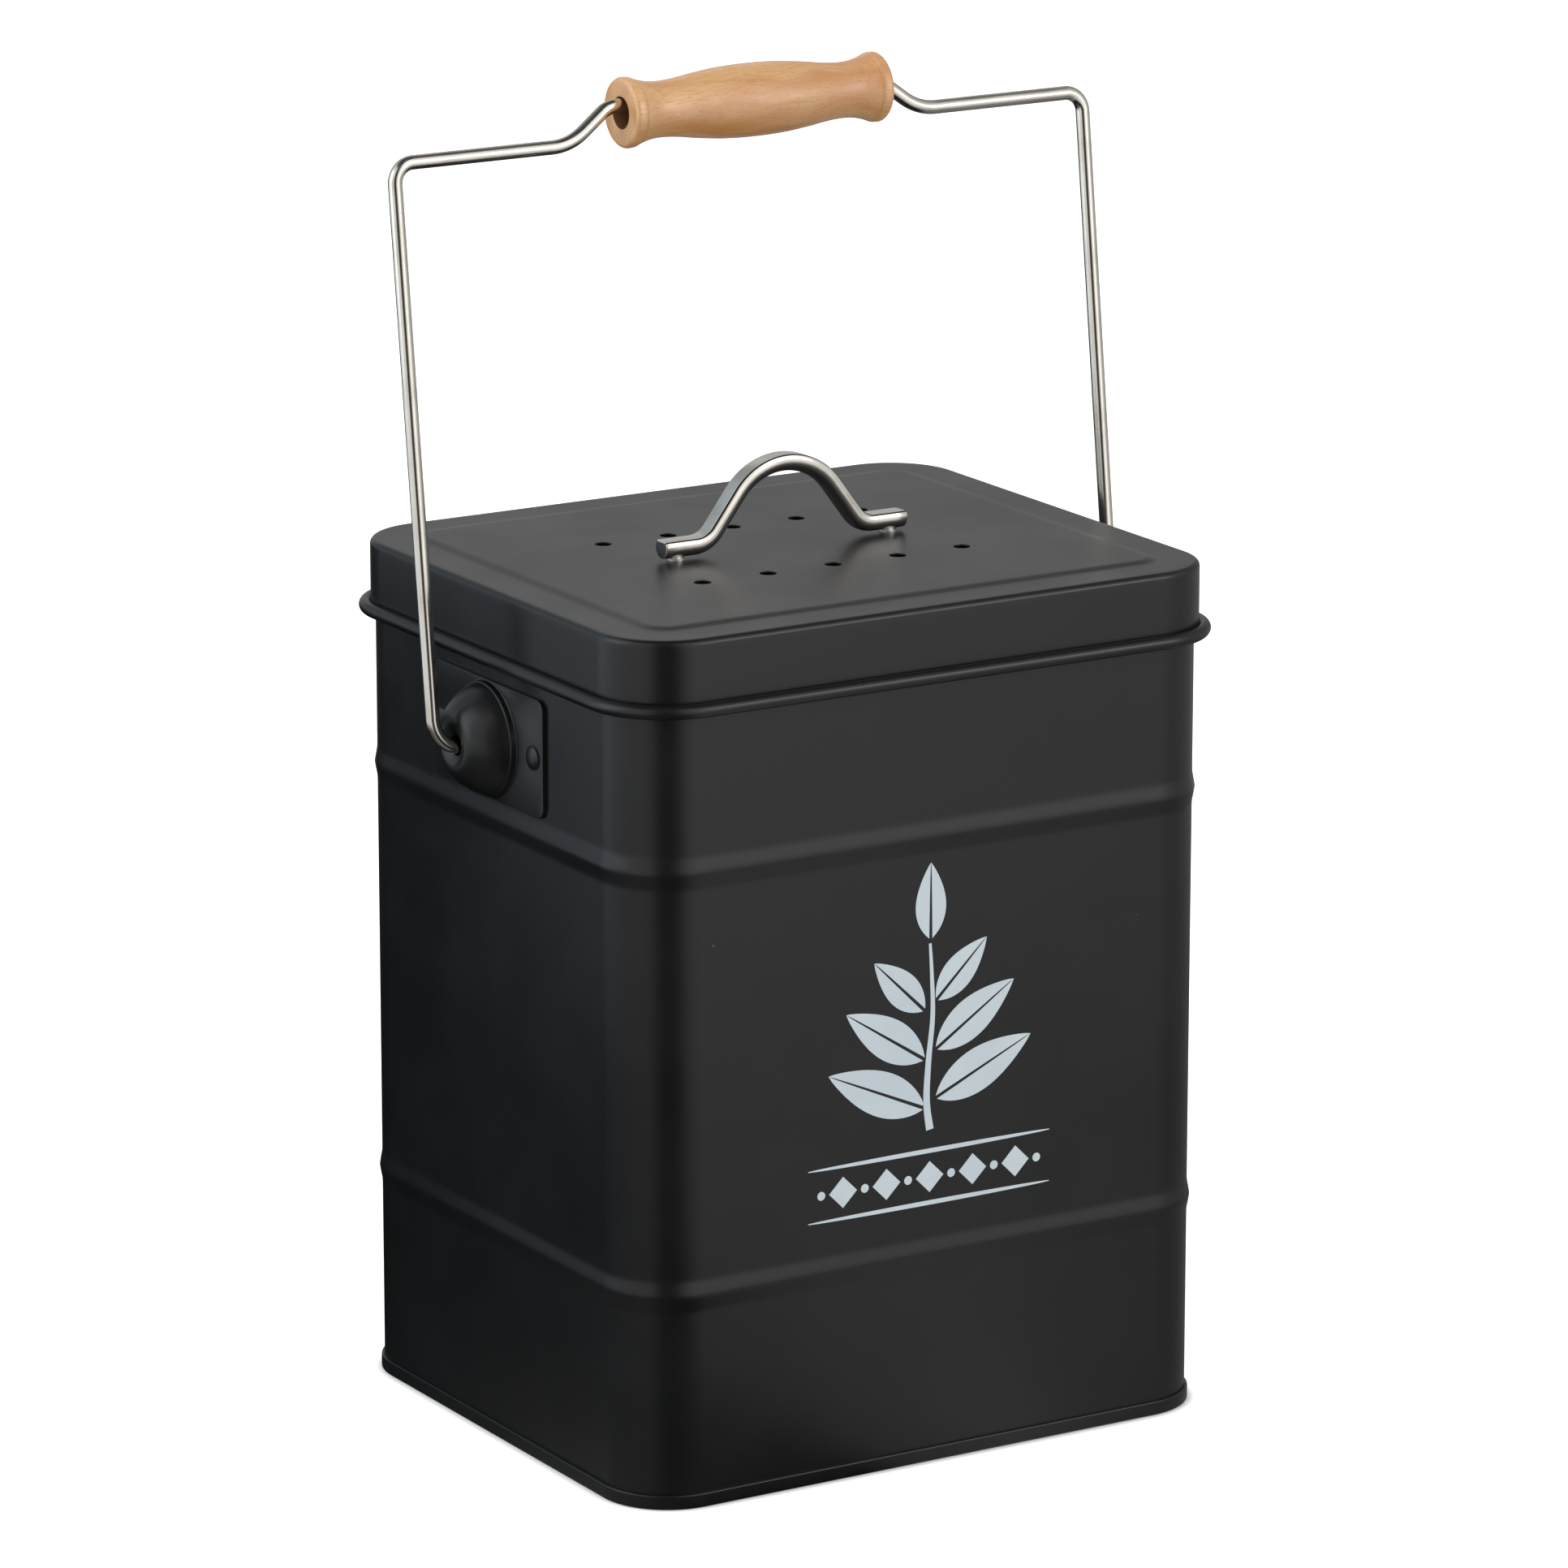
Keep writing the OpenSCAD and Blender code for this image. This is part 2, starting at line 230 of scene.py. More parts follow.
class MeshMaker:
    """Builds one piece's mesh from rings of points, in millimetres, and welds it, in metres."""

    weld = 1e-7

    def __init__(self, name: str) -> None:
        """Starts an empty mesh."""
        self.name = name
        self.bm = bmesh.new()

    def ring(self, points: Sequence[Vector]) -> list[bmesh.types.BMVert]:
        """Adds loose points and returns them."""
        return [self.bm.verts.new(Vector(p) * MM) for p in points]

    def bridge(self, one: list, other: list, closed: bool = True, material: int = 0) -> None:
        """Joins two rings of as many points by a band of faces.

        Args:
            one: The first ring.
            other: The second ring.
            closed: Whether the band runs all round.
            material: The faces' material slot.
        """
        count = len(one)
        for i in range(count if closed else count - 1):
            j = (i + 1) % count
            self.bm.faces.new((one[i], one[j], other[j], other[i])).material_index = material

    def loft(self, rings: Sequence[Sequence[Vector]], closed_profile: bool = False) -> list[list]:
        """Joins many rings one after another.

        Args:
            rings: The rings' points.
            closed_profile: Whether the last ring joins the first.

        Returns:
            The rings' vertices.
        """
        made = [self.ring(points) for points in rings]
        for one, other in zip(made, made[1:]):
            self.bridge(one, other)
        if closed_profile:
            self.bridge(made[-1], made[0])
        return made

    def fill(self, *loops: list, material: int = 0) -> None:
        """Fills the flat area inside the first loop and outside the others.

        Args:
            loops: The loops' vertices.
            material: The faces' material slot.
        """
        edges = []
        for loop in loops:
            for a, b in zip(loop, loop[1:] + loop[:1]):
                edges.append(self.bm.edges.get((a, b)) or self.bm.edges.new((a, b)))
        made = bmesh.ops.triangle_fill(self.bm, use_beauty=True, use_dissolve=False, edges=edges)
        for item in made["geom"]:
            if isinstance(item, bmesh.types.BMFace):
                item.material_index = material

    def cap(self, ring: list, material: int = 0) -> None:
        """Closes a ring with one face."""
        self.bm.faces.new(ring).material_index = material

    def place(self, matrix: Matrix) -> None:
        """Moves everything made so far; the matrix is in metres."""
        bmesh.ops.transform(self.bm, matrix=matrix, verts=self.bm.verts)

    def piece(self, crease: float = 35) -> bpy.types.Object:
        """Closes the mesh and returns it as an object.

        Args:
            crease: The angle in degrees past which an edge stays sharp.

        Returns:
            The finished object, at the origin.
        """
        bmesh.ops.remove_doubles(self.bm, verts=self.bm.verts, dist=self.weld)
        bmesh.ops.recalc_face_normals(self.bm, faces=self.bm.faces)
        mark_creases(self.bm, crease)
        mesh = bpy.data.meshes.new(self.name)
        self.bm.to_mesh(mesh)
        self.bm.free()
        return linked(self.name, mesh)


class BarPath:
    """The middle line of a bent bar, in its own plane, as points with their normals."""

    def __init__(self, start: Point, heading: float) -> None:
        """Starts a path.

        Args:
            start: The first point.
            heading: Its direction in degrees, anticlockwise from the first axis.
        """
        self.points: list[Point] = [start]
        self.headings: list[float] = [heading]

    def _step(self, length: float, heading: float, new_heading: float) -> None:
        """Adds one point.

        Args:
            length: Its distance from the last one.
            heading: Its direction from there, in degrees.
            new_heading: The path's own direction at the new point.
        """
        x, y = self.points[-1]
        angle = math.radians(heading)
        self.points.append((x + length * math.cos(angle), y + length * math.sin(angle)))
        self.headings.append(new_heading)

    def straight(self, length: float, steps: int = 1) -> "BarPath":
        """Runs straight on and returns the path.

        Args:
            length: How far.
            steps: The number of points that it adds.

        Returns:
            The path.
        """
        for _ in range(steps):
            self._step(length / steps, self.headings[-1], self.headings[-1])
        return self

    def bend(self, radius: float, angle: float, steps: int = 12) -> "BarPath":
        """Bends left for a positive angle in degrees, or right, and returns the path.

        Args:
            radius: The bend's radius.
            angle: How far it turns.
            steps: The number of points that it adds.

        Returns:
            The path.
        """
        part = angle / steps
        chord = 2 * radius * math.sin(math.radians(abs(part)) / 2)
        for _ in range(steps):
            heading = self.headings[-1]
            self._step(chord, heading + part / 2, heading + part)
        return self

    def follow(self, moves: Sequence[tuple[float, ...]]) -> "BarPath":
        """Makes a row of moves: (length, steps) runs straight and (radius, angle, steps) bends.

        Args:
            moves: The moves, in order.

        Returns:
            The path.
        """
        for *move, steps in moves:
            (self.straight if len(move) == 1 else self.bend)(*move, steps)
        return self


# --------------------------------------------------------------------------------------------------
# Nodes
# --------------------------------------------------------------------------------------------------


class NodeBench:
    """Places nodes in one tree and wires them up."""

    def __init__(self, tree: bpy.types.NodeTree) -> None:
        """Works on a tree, which it empties."""
        self.tree = tree
        tree.nodes.clear()

    def put(self, kind: str, inputs: dict | None = None, **settings: object) -> bpy.types.Node:
        """Adds a node.

        Args:
            kind: The node's type.
            inputs: Its sockets by name or number, each with a value or with the socket that feeds it.
            settings: Its other settings.

        Returns:
            The new node.
        """
        node = self.tree.nodes.new(kind)
        for name, value in settings.items():
            setattr(node, name, value)
        for name, value in (inputs or {}).items():
            if isinstance(value, bpy.types.NodeSocket):
                self.tree.links.new(value, node.inputs[name])
            else:
                node.inputs[name].default_value = value
        return node

    def group(self, tree: bpy.types.NodeTree, inputs: dict) -> bpy.types.Node:
        """Adds a node group with its inputs."""
        return self.put("ShaderNodeGroup", inputs, node_tree=tree)

    def bump(self, height: bpy.types.NodeSocket, depth: float) -> bpy.types.NodeSocket:
        """Turns a height pattern of a depth in metres into normals and returns the output."""
        return self.put("ShaderNodeBump", {"Height": height, "Distance": depth, "Strength": 1.0}).outputs[0]

    def end(self, surface: bpy.types.Node, kind: str = "ShaderNodeOutputMaterial") -> None:
        """Ends the tree with an output of a kind, which the surface feeds."""
        self.put(kind, {"Surface": surface.outputs[0]})

    def math(self, operation: str, one: object, other: object = 0.0) -> bpy.types.NodeSocket:
        """Adds a calculation on two values and returns its output."""
        return self.put("ShaderNodeMath", {0: one, 1: other}, operation=operation).outputs[0]

    def ramp(self, value: bpy.types.NodeSocket, low: float, high: float, to_low: float = 0.0,
             to_high: float = 1.0) -> bpy.types.NodeSocket:
        """Maps a range of values onto another, smoothly, and returns the output.

        Args:
            value: The value's socket.
            low: The first range's start.
            high: The first range's end.
            to_low: The second range's start.
            to_high: The second range's end.

        Returns:
            The mapped value's socket.
        """
        limits = {"Value": value, "From Min": low, "From Max": high, "To Min": to_low, "To Max": to_high}
        return self.put("ShaderNodeMapRange", limits, interpolation_type="SMOOTHSTEP").outputs["Result"]

    def blend(self, share: object, one: object, other: object) -> bpy.types.NodeSocket:
        """Mixes two colours and returns the output.

        Args:
            share: How much of the second colour shows.
            one: The first colour, or its socket.
            other: The second colour, or its socket.

        Returns:
            The mixed colour's socket.
        """
        node = self.put("ShaderNodeMix", data_type="RGBA")
        for index, value in ((0, share), (6, one), (7, other)):
            if isinstance(value, bpy.types.NodeSocket):
                self.tree.links.new(value, node.inputs[index])
            else:
                node.inputs[index].default_value = value
        return node.outputs[2]


def group_tree(name: str, kind: str, inputs: dict[str, object],
               outputs: dict[str, str]) -> bpy.types.NodeTree:
    """Makes an empty node group with named sockets.

    Args:
        name: The group's name.
        kind: The type of its tree.
        inputs: Its inputs: each is a number, or the type of a socket.
        outputs: Its outputs' socket types.

    Returns:
        The group.
    """
    tree = bpy.data.node_groups.new(name, kind)
    for label, value in inputs.items():
        number = isinstance(value, (int, float))
        socket_type = "NodeSocketFloat" if number else value
        socket = tree.interface.new_socket(label, in_out="INPUT", socket_type=socket_type)
        if number:
            socket.default_value = value
    for label, socket_type in outputs.items():
        tree.interface.new_socket(label, in_out="OUTPUT", socket_type=socket_type)
    return tree


def new_material(name: str) -> tuple[bpy.types.Material, NodeBench, bpy.types.NodeSocket]:
    """Returns a new material, the bench on its tree and the piece's own coordinates.

    Args:
        name: The material's name.

    Returns:
        The material, the bench and the coordinates' socket.
    """
    material = bpy.data.materials.new(name)
    material.use_nodes = True
    bench = NodeBench(material.node_tree)
    return material, bench, bench.put("ShaderNodeTexCoord").outputs["Object"]


def opaque(colour: Sequence[float]) -> tuple[float, ...]:
    """Returns a colour with full cover."""
    return (*colour, 1.0)


class SurfaceEffects:
    """The shader groups that more than one finish uses.

    All of them read metres on the piece itself. A speck's radius is a share of its cell, and bare_cells
    is the share of cells without one.
    """

    speck_cells = 55.0
    speck_r = (0.012, 0.022)
    bare_cells = 0.72
    cloud_scale = 90.0

    def __init__(self) -> None:
        """Builds the groups."""
        self.orange_peel = self._orange_peel()
        self.streaks = self._streaks()

    def _orange_peel(self) -> bpy.types.NodeTree:
        """Returns the fine dimples, cloudy patches and rare specks of a sprayed or printed coat."""
        tree = group_tree(
            "orange_peel", "ShaderNodeTree",
            {"Vector": "NodeSocketVector", "Dimple Size": 0.0008, "Patch Size": 0.03},
            {"Height": "NodeSocketFloat", "Patches": "NodeSocketFloat", "Specks": "NodeSocketFloat"})
        bench = NodeBench(tree)
        source = bench.put("NodeGroupInput")
        place = source.outputs["Vector"]
        fine = bench.put("ShaderNodeTexNoise", {
            "Vector": place, "Detail": 2.0,
            "Scale": bench.math("DIVIDE", 1.0, source.outputs["Dimple Size"])})
        patches = bench.put("ShaderNodeTexNoise", {
            "Vector": place, "Detail": 3.0, "Roughness": 0.55,
            "Scale": bench.math("DIVIDE", 1.0, source.outputs["Patch Size"])})
        cells = bench.put("ShaderNodeTexVoronoi", {"Vector": place, "Scale": self.speck_cells})
        small, large = self.speck_r
        specks = bench.ramp(cells.outputs["Distance"], large, small)
        chosen = bench.put("ShaderNodeSeparateColor", {"Color": cells.outputs["Color"]})
        rare = bench.math("GREATER_THAN", chosen.outputs[0], self.bare_cells)
        bench.put("NodeGroupOutput", {"Height": fine.outputs[0], "Patches": patches.outputs[0],
                                      "Specks": bench.math("MULTIPLY", specks, rare)})
        return tree

    def _streaks(self) -> bpy.types.NodeTree:
        """Returns the fine lines that brushing or polishing leaves along one direction."""
        tree = group_tree("brushed_streaks", "ShaderNodeTree",
                          {"Vector": "NodeSocketVector", "Width": 0.0002, "Length": 0.02},
                          {"Lines": "NodeSocketFloat", "Clouds": "NodeSocketFloat"})
        bench = NodeBench(tree)
        source = bench.put("NodeGroupInput")
        place = source.outputs["Vector"]
        across = bench.math("DIVIDE", 1.0, source.outputs["Width"])
        along = bench.math("DIVIDE", 1.0, source.outputs["Length"])
        stretch = bench.put("ShaderNodeCombineXYZ", {0: along, 1: across, 2: across})
        scaled = bench.put("ShaderNodeVectorMath", {0: place, 1: stretch.outputs[0]}, operation="MULTIPLY")
        lines = bench.put("ShaderNodeTexNoise", {"Vector": scaled.outputs[0], "Scale": 1.0, "Detail": 4.0})
        clouds = bench.put("ShaderNodeTexNoise", {"Vector": place, "Scale": self.cloud_scale, "Detail": 3.0})
        bench.put("NodeGroupOutput", {"Lines": lines.outputs[0], "Clouds": clouds.outputs[0]})
        return tree


@dataclass(frozen=True)
class CoatFinish:
    """A satin powder coat or a printed ink on it."""

    name: str
    colour: Rgb
    patch_colour: Rgb
    roughness: float
    roughness_change: float
    dimple_size: float
    dimple_depth: float = 0.00001
    speck_strength: float = 0.0
    speck_colour: Rgb = (0.5, 0.5, 0.5)
    specular: float = 0.5

    def make(self, effects: SurfaceEffects) -> bpy.types.Material:
        """Makes the finish.

        Args:
            effects: The shader groups.

        Returns:
            The material.
        """
        material, bench, place = new_material(self.name)
        peel = bench.group(effects.orange_peel, {"Vector": place, "Dimple Size": self.dimple_size})
        patches = peel.outputs["Patches"]
        colour = bench.blend(bench.ramp(patches, 0.35, 0.7), opaque(self.colour), opaque(self.patch_colour))
        dust = bench.math("MULTIPLY", peel.outputs["Specks"], self.speck_strength)
        colour = bench.blend(dust, colour, opaque(self.speck_colour))
        rough = bench.ramp(patches, 0.3, 0.75, self.roughness - self.roughness_change,
                           self.roughness + self.roughness_change)
        bench.end(bench.put("ShaderNodeBsdfPrincipled", {
            "Base Color": colour, "Roughness": rough, "Specular IOR Level": self.specular,
            "Normal": bench.bump(peel.outputs["Height"], self.dimple_depth)}))
        return material


@dataclass(frozen=True)
class SteelFinish:
    """Bare steel, brushed or polished along X."""

    name: str
    colour: Rgb
    dull_colour: Rgb
    roughness: float
    line_width: float
    line_length: float
    line_depth: float
    line_roughness: float

    def make(self, effects: SurfaceEffects) -> bpy.types.Material:
        """Makes the finish.

        Args:
            effects: The shader groups.

        Returns:
            The material.
        """
        material, bench, place = new_material(self.name)
        streaks = bench.group(effects.streaks, {
            "Vector": place, "Width": self.line_width, "Length": self.line_length})
        lines, clouds = streaks.outputs["Lines"], streaks.outputs["Clouds"]
        colour = bench.blend(bench.ramp(clouds, 0.4, 0.75), opaque(self.colour), opaque(self.dull_colour))
        rough = bench.ramp(lines, 0.3, 0.7, self.roughness, self.roughness + self.line_roughness)
        bench.end(bench.put("ShaderNodeBsdfPrincipled", {
            "Base Color": colour, "Metallic": 1.0, "Roughness": rough,
            "Normal": bench.bump(lines, self.line_depth)}))
        return material


@dataclass(frozen=True)
class BeechFinish:
    """Clear-coated beech, its grain along X and its rings round the grip's own line."""

    name: str
    light: Rgb
    dark: Rgb
    fleck: Rgb
    axis_y: float
    axis_z: float
    drift_scale: float = 22.0
    drift_reach: Triple = (0.02, 0.012, 0.012)
    ring_scale: Triple = (13.0, 160.0, 75.0)
    ring_turn: Triple = (0.5, 0.0, 0.06)
    fibre_scale: Triple = (60.0, 1800.0, 1800.0)
    fibre_depth: float = 0.00003
    fleck_scale: Triple = (300.0, 1400.0, 1400.0)

    def make(self) -> bpy.types.Material:
        """Returns the material."""
        material, bench, place = new_material(self.name)
        centred = bench.put("ShaderNodeMapping", {
            "Vector": place, "Location": (0.0, -self.axis_y, -self.axis_z)}).outputs[0]
        drift = bench.put("ShaderNodeTexNoise", {"Vector": centred, "Scale": self.drift_scale, "Detail": 2.0})
        pull = bench.put("ShaderNodeVectorMath", {0: drift.outputs["Color"], 1: self.drift_reach},
                         operation="MULTIPLY")
        warped = bench.put("ShaderNodeVectorMath", {0: centred, 1: pull.outputs[0]},
                           operation="ADD").outputs[0]
        growth = bench.put("ShaderNodeMapping", {
            "Vector": warped, "Scale": self.ring_scale, "Rotation": self.ring_turn})
        rings = bench.put("ShaderNodeTexNoise", {
            "Vector": growth.outputs[0], "Scale": 1.0, "Detail": 4.0, "Roughness": 0.55}).outputs[0]
        drawn = bench.put("ShaderNodeMapping", {"Vector": warped, "Scale": self.fibre_scale})
        fibres = bench.put("ShaderNodeTexNoise", {
            "Vector": drawn.outputs[0], "Scale": 1.0, "Detail": 3.0}).outputs[0]
        short = bench.put("ShaderNodeMapping", {"Vector": centred, "Scale": self.fleck_scale})
        flecks = bench.put("ShaderNodeTexVoronoi", {"Vector": short.outputs[0], "Scale": 1.0})
        light, dark, fleck = opaque(self.light), opaque(self.dark), opaque(self.fleck)
        colour = bench.blend(bench.ramp(rings, 0.40, 0.66), light, dark)
        colour = bench.blend(bench.ramp(fibres, 0.42, 0.68, 0.0, 0.6), colour, dark)
        colour = bench.blend(bench.ramp(flecks.outputs["Distance"], 0.32, 0.12, 0.0, 0.35), colour, fleck)
        bench.end(bench.put("ShaderNodeBsdfPrincipled", {
            "Base Color": colour, "Roughness": bench.ramp(rings, 0.3, 0.7, 0.42, 0.5),
            "Normal": bench.bump(fibres, self.fibre_depth),
            "Coat Weight": 1.0, "Coat Roughness": 0.38, "Coat IOR": 1.75,
            "Subsurface Weight": 0.04, "Subsurface Radius": (0.002, 0.001, 0.0005), "Subsurface Scale": 1.0}))
        return material


@dataclass(frozen=True)
class FeltFinish:
    """Charcoal felt of matted fibres."""

    name: str
    dark: Rgb
    light: Rgb
    fibre_scale: float = 900.0
    tuft_scale: float = 420.0
    depth: float = 0.0006

    def make(self) -> bpy.types.Material:
        """Returns the material."""
        material, bench, place = new_material(self.name)
        fibres = bench.put("ShaderNodeTexNoise", {
            "Vector": place, "Scale": self.fibre_scale, "Detail": 5.0, "Distortion": 1.5})
        tufts = bench.put("ShaderNodeTexVoronoi", {"Vector": place, "Scale": self.tuft_scale},
                          feature="SMOOTH_F1")
        height = bench.math("ADD", fibres.outputs[0], tufts.outputs["Distance"])
        colour = bench.blend(bench.ramp(height, 0.6, 1.3), opaque(self.dark), opaque(self.light))
        bench.end(bench.put("ShaderNodeBsdfPrincipled", {
            "Base Color": colour, "Roughness": bench.ramp(height, 0.6, 1.3, 0.85, 1.0),
            "Normal": bench.bump(height, self.depth), "Sheen Weight": 0.25, "Sheen Roughness": 0.6}))
        return material


class Finishes:
    """Every material of the caddy, made once."""

    def __init__(self, grip_axis: Vector) -> None:
        """Makes the materials.

        Args:
            grip_axis: A point on the grip's axis, in metres.
        """
        effects = SurfaceEffects()
        self.enamel = CoatFinish(
            "black_powder_coat", (0.0060, 0.0063, 0.0068), (0.0072, 0.0076, 0.0082), roughness=0.33,
            roughness_change=0.02, dimple_size=0.0009, speck_strength=0.2, specular=0.45).make(effects)
        self.ink = CoatFinish(
            "pale_print", (0.61, 0.69, 0.73), (0.57, 0.65, 0.70), roughness=0.6, roughness_change=0.05,
            dimple_size=0.0006).make(effects)
        self.bail_steel = SteelFinish(
            "brushed_wire", (0.74, 0.70, 0.63), (0.62, 0.58, 0.51), roughness=0.19, line_width=0.0010,
            line_length=0.012, line_depth=0.0000006, line_roughness=0.03).make(effects)
        bar = {"line_width": 0.0006, "line_length": 0.008, "line_depth": 0.0000008, "line_roughness": 0.05}
        self.handle_steel = SteelFinish(
            "polished_bar", (0.78, 0.735, 0.67), (0.62, 0.58, 0.52), roughness=0.16, **bar).make(effects)
        # The strips beside the handle's flat get a painted dark reflection: near-black steel.
        self.painted_reflection_steel = SteelFinish(
            "flat_edge_painted_reflection", (0.022, 0.020, 0.018), (0.012, 0.011, 0.010), roughness=0.5,
            **bar).make(effects)
        self.cut_steel = SteelFinish(
            "sawn_bar_end", (0.14, 0.135, 0.13), (0.02, 0.02, 0.02), roughness=0.40, line_width=0.0005,
            line_length=0.0006, line_depth=0.00016, line_roughness=0.3).make(effects)
        self.zinc = SteelFinish(
            "plated_screws", (0.82, 0.81, 0.78), (0.68, 0.67, 0.65), roughness=0.42, line_width=0.0003,
            line_length=0.001, line_depth=0.000005, line_roughness=0.1).make(effects)
        self.beech = BeechFinish(
            "varnished_beech", (0.73, 0.41, 0.168), (0.58, 0.252, 0.072), (0.36, 0.12, 0.035),
            grip_axis.y, grip_axis.z).make()
        # The bore's darker beech is painted shade inside the bore.
        self.bore_shade_beech = BeechFinish(
            "beech_with_painted_bore_shade", (0.27, 0.115, 0.04), (0.17, 0.062, 0.02), (0.12, 0.04, 0.012),
            grip_axis.y, grip_axis.z).make()
        self.felt = FeltFinish("charcoal_felt", (0.008, 0.008, 0.009), (0.03, 0.03, 0.032)).make()


# --------------------------------------------------------------------------------------------------
# Repeating and swept pieces made by Geometry Nodes
# --------------------------------------------------------------------------------------------------


def grown_mesh(name: str, source: bpy.types.Object, tree: bpy.types.NodeTree, sizes: dict[str, float],
               material: bpy.types.Material) -> bpy.types.Object:
    """Runs a Geometry Nodes tree on a source object and keeps the result as a plain mesh.

    Args:
        name: The new piece's name.
        source: The object that the tree starts from, which is used up.
        tree: The Geometry Nodes tree.
        sizes: Its inputs by name.
        material: The material for its Material input.

    Returns:
        The new piece.
    """
    modifier = source.modifiers.new("grow", "NODES")
    modifier.node_group = tree
    for item in tree.interface.items_tree:
        if item.item_type == "SOCKET" and item.in_out == "INPUT":
            if item.name in sizes:
                modifier[item.identifier] = sizes[item.name]
            elif item.name == "Material":
                modifier[item.identifier] = material
    graph = bpy.context.evaluated_depsgraph_get()
    mesh = bpy.data.meshes.new_from_object(source.evaluated_get(graph))
    source.modifiers.remove(modifier)
    bpy.data.objects.remove(source)
    mesh.name = name
    return linked(name, mesh)


def points_object(name: str, points: Sequence[Vector], joined: bool) -> bpy.types.Object:
    """Returns a mesh of bare points in metres, joined by edges in order if asked.

    Args:
        name: The object's name.
        points: The points.
        joined: Whether edges join them.

    Returns:
        The object.
    """
    edges = [(i, i + 1) for i in range(len(points) - 1)] if joined else []
    return linked(name, bare_mesh(name, points, edges))


class Growths:
    """The Geometry Nodes trees."""

    dome_share = 0.93

    def __init__(self) -> None:
        """Builds the trees."""
        self.wire = self._wire()
        self.rivets = self._rivets()

    def _wire(self) -> bpy.types.NodeTree:
        """Returns a tree that draws a round wire along a line of edges."""
        tree = group_tree("round_wire", "GeometryNodeTree",
                          {"Geometry": "NodeSocketGeometry", "Wire Radius": 0.002, "Sides": "NodeSocketInt",
                           "Material": "NodeSocketMaterial"}, {"Geometry": "NodeSocketGeometry"})
        bench = NodeBench(tree)
        source = bench.put("NodeGroupInput")
        line = bench.put("GeometryNodeMeshToCurve", {"Mesh": source.outputs["Geometry"]})
        section = bench.put("GeometryNodeCurvePrimitiveCircle", {
            "Resolution": source.outputs["Sides"], "Radius": source.outputs["Wire Radius"]})
        wire = bench.put("GeometryNodeCurveToMesh", {
            "Curve": line.outputs[0], "Profile Curve": section.outputs[0], "Fill Caps": True})
        real = bench.put("GeometryNodeRealizeInstances", {"Geometry": wire.outputs[0]})
        painted = bench.put("GeometryNodeSetMaterial", {"Geometry": real.outputs[0],
                                                        "Material": source.outputs["Material"]})
        bench.put("NodeGroupOutput", {"Geometry": painted.outputs[0]})
        return tree

    def _rivets(self) -> bpy.types.NodeTree:
        """Returns a tree that sets a low domed head with a collar at each point, facing along its normal."""
        tree = group_tree("domed_rivets", "GeometryNodeTree",
                          {"Geometry": "NodeSocketGeometry", "Head Radius": 0.0037, "Head Height": 0.0016,
                           "Collar Height": 0.0004, "Material": "NodeSocketMaterial"},
                          {"Geometry": "NodeSocketGeometry"})
        bench = NodeBench(tree)
        source = bench.put("NodeGroupInput")
        radius, height = source.outputs["Head Radius"], source.outputs["Head Height"]
        collar_height = source.outputs["Collar Height"]
        ball = bench.put("GeometryNodeMeshUVSphere", {"Segments": 40, "Rings": 24, "Radius": radius})
        flat = bench.math("DIVIDE", height, radius)
        squeeze = bench.put("ShaderNodeCombineXYZ", {0: self.dome_share, 1: self.dome_share, 2: flat})
        lift = bench.put("ShaderNodeCombineXYZ", {2: bench.math("MULTIPLY", collar_height, 0.5)})
        dome = bench.put("GeometryNodeTransform", {"Geometry": ball.outputs[0], "Scale": squeeze.outputs[0],
                                                   "Translation": lift.outputs[0]})
        collar = bench.put("GeometryNodeMeshCylinder", {
            "Vertices": 40, "Radius": radius, "Depth": collar_height}, fill_type="NGON")
        head = bench.put("GeometryNodeJoinGeometry")
        tree.links.new(dome.outputs[0], head.inputs[0])
        tree.links.new(collar.outputs["Mesh"], head.inputs[0])
        normal = bench.put("GeometryNodeInputNamedAttribute", {"Name": "facing"}, data_type="FLOAT_VECTOR")
        turn = bench.put("FunctionNodeAlignRotationToVector", {"Vector": normal.outputs[0]}, axis="Z")
        heads = bench.put("GeometryNodeInstanceOnPoints", {
            "Points": source.outputs["Geometry"], "Instance": head.outputs[0], "Rotation": turn.outputs[0]})
        real = bench.put("GeometryNodeRealizeInstances", {"Geometry": heads.outputs[0]})
        painted = bench.put("GeometryNodeSetMaterial", {"Geometry": real.outputs[0],
                                                        "Material": source.outputs["Material"]})
        bench.put("NodeGroupOutput", {"Geometry": painted.outputs[0]})
        return tree


def smooth_by_angle(obj: bpy.types.Object, crease: float) -> bpy.types.Object:
    """Shades an object smoothly, with its edges past an angle in degrees kept sharp, and returns it.

    Args:
        obj: The object.
        crease: The angle.

    Returns:
        The same object.
    """
    bm = bmesh.new()
    bm.from_mesh(obj.data)
    mark_creases(bm, crease)
    bm.to_mesh(obj.data)
    bm.free()
    return obj


# --------------------------------------------------------------------------------------------------
# Sub-assemblies, in millimetres
# --------------------------------------------------------------------------------------------------


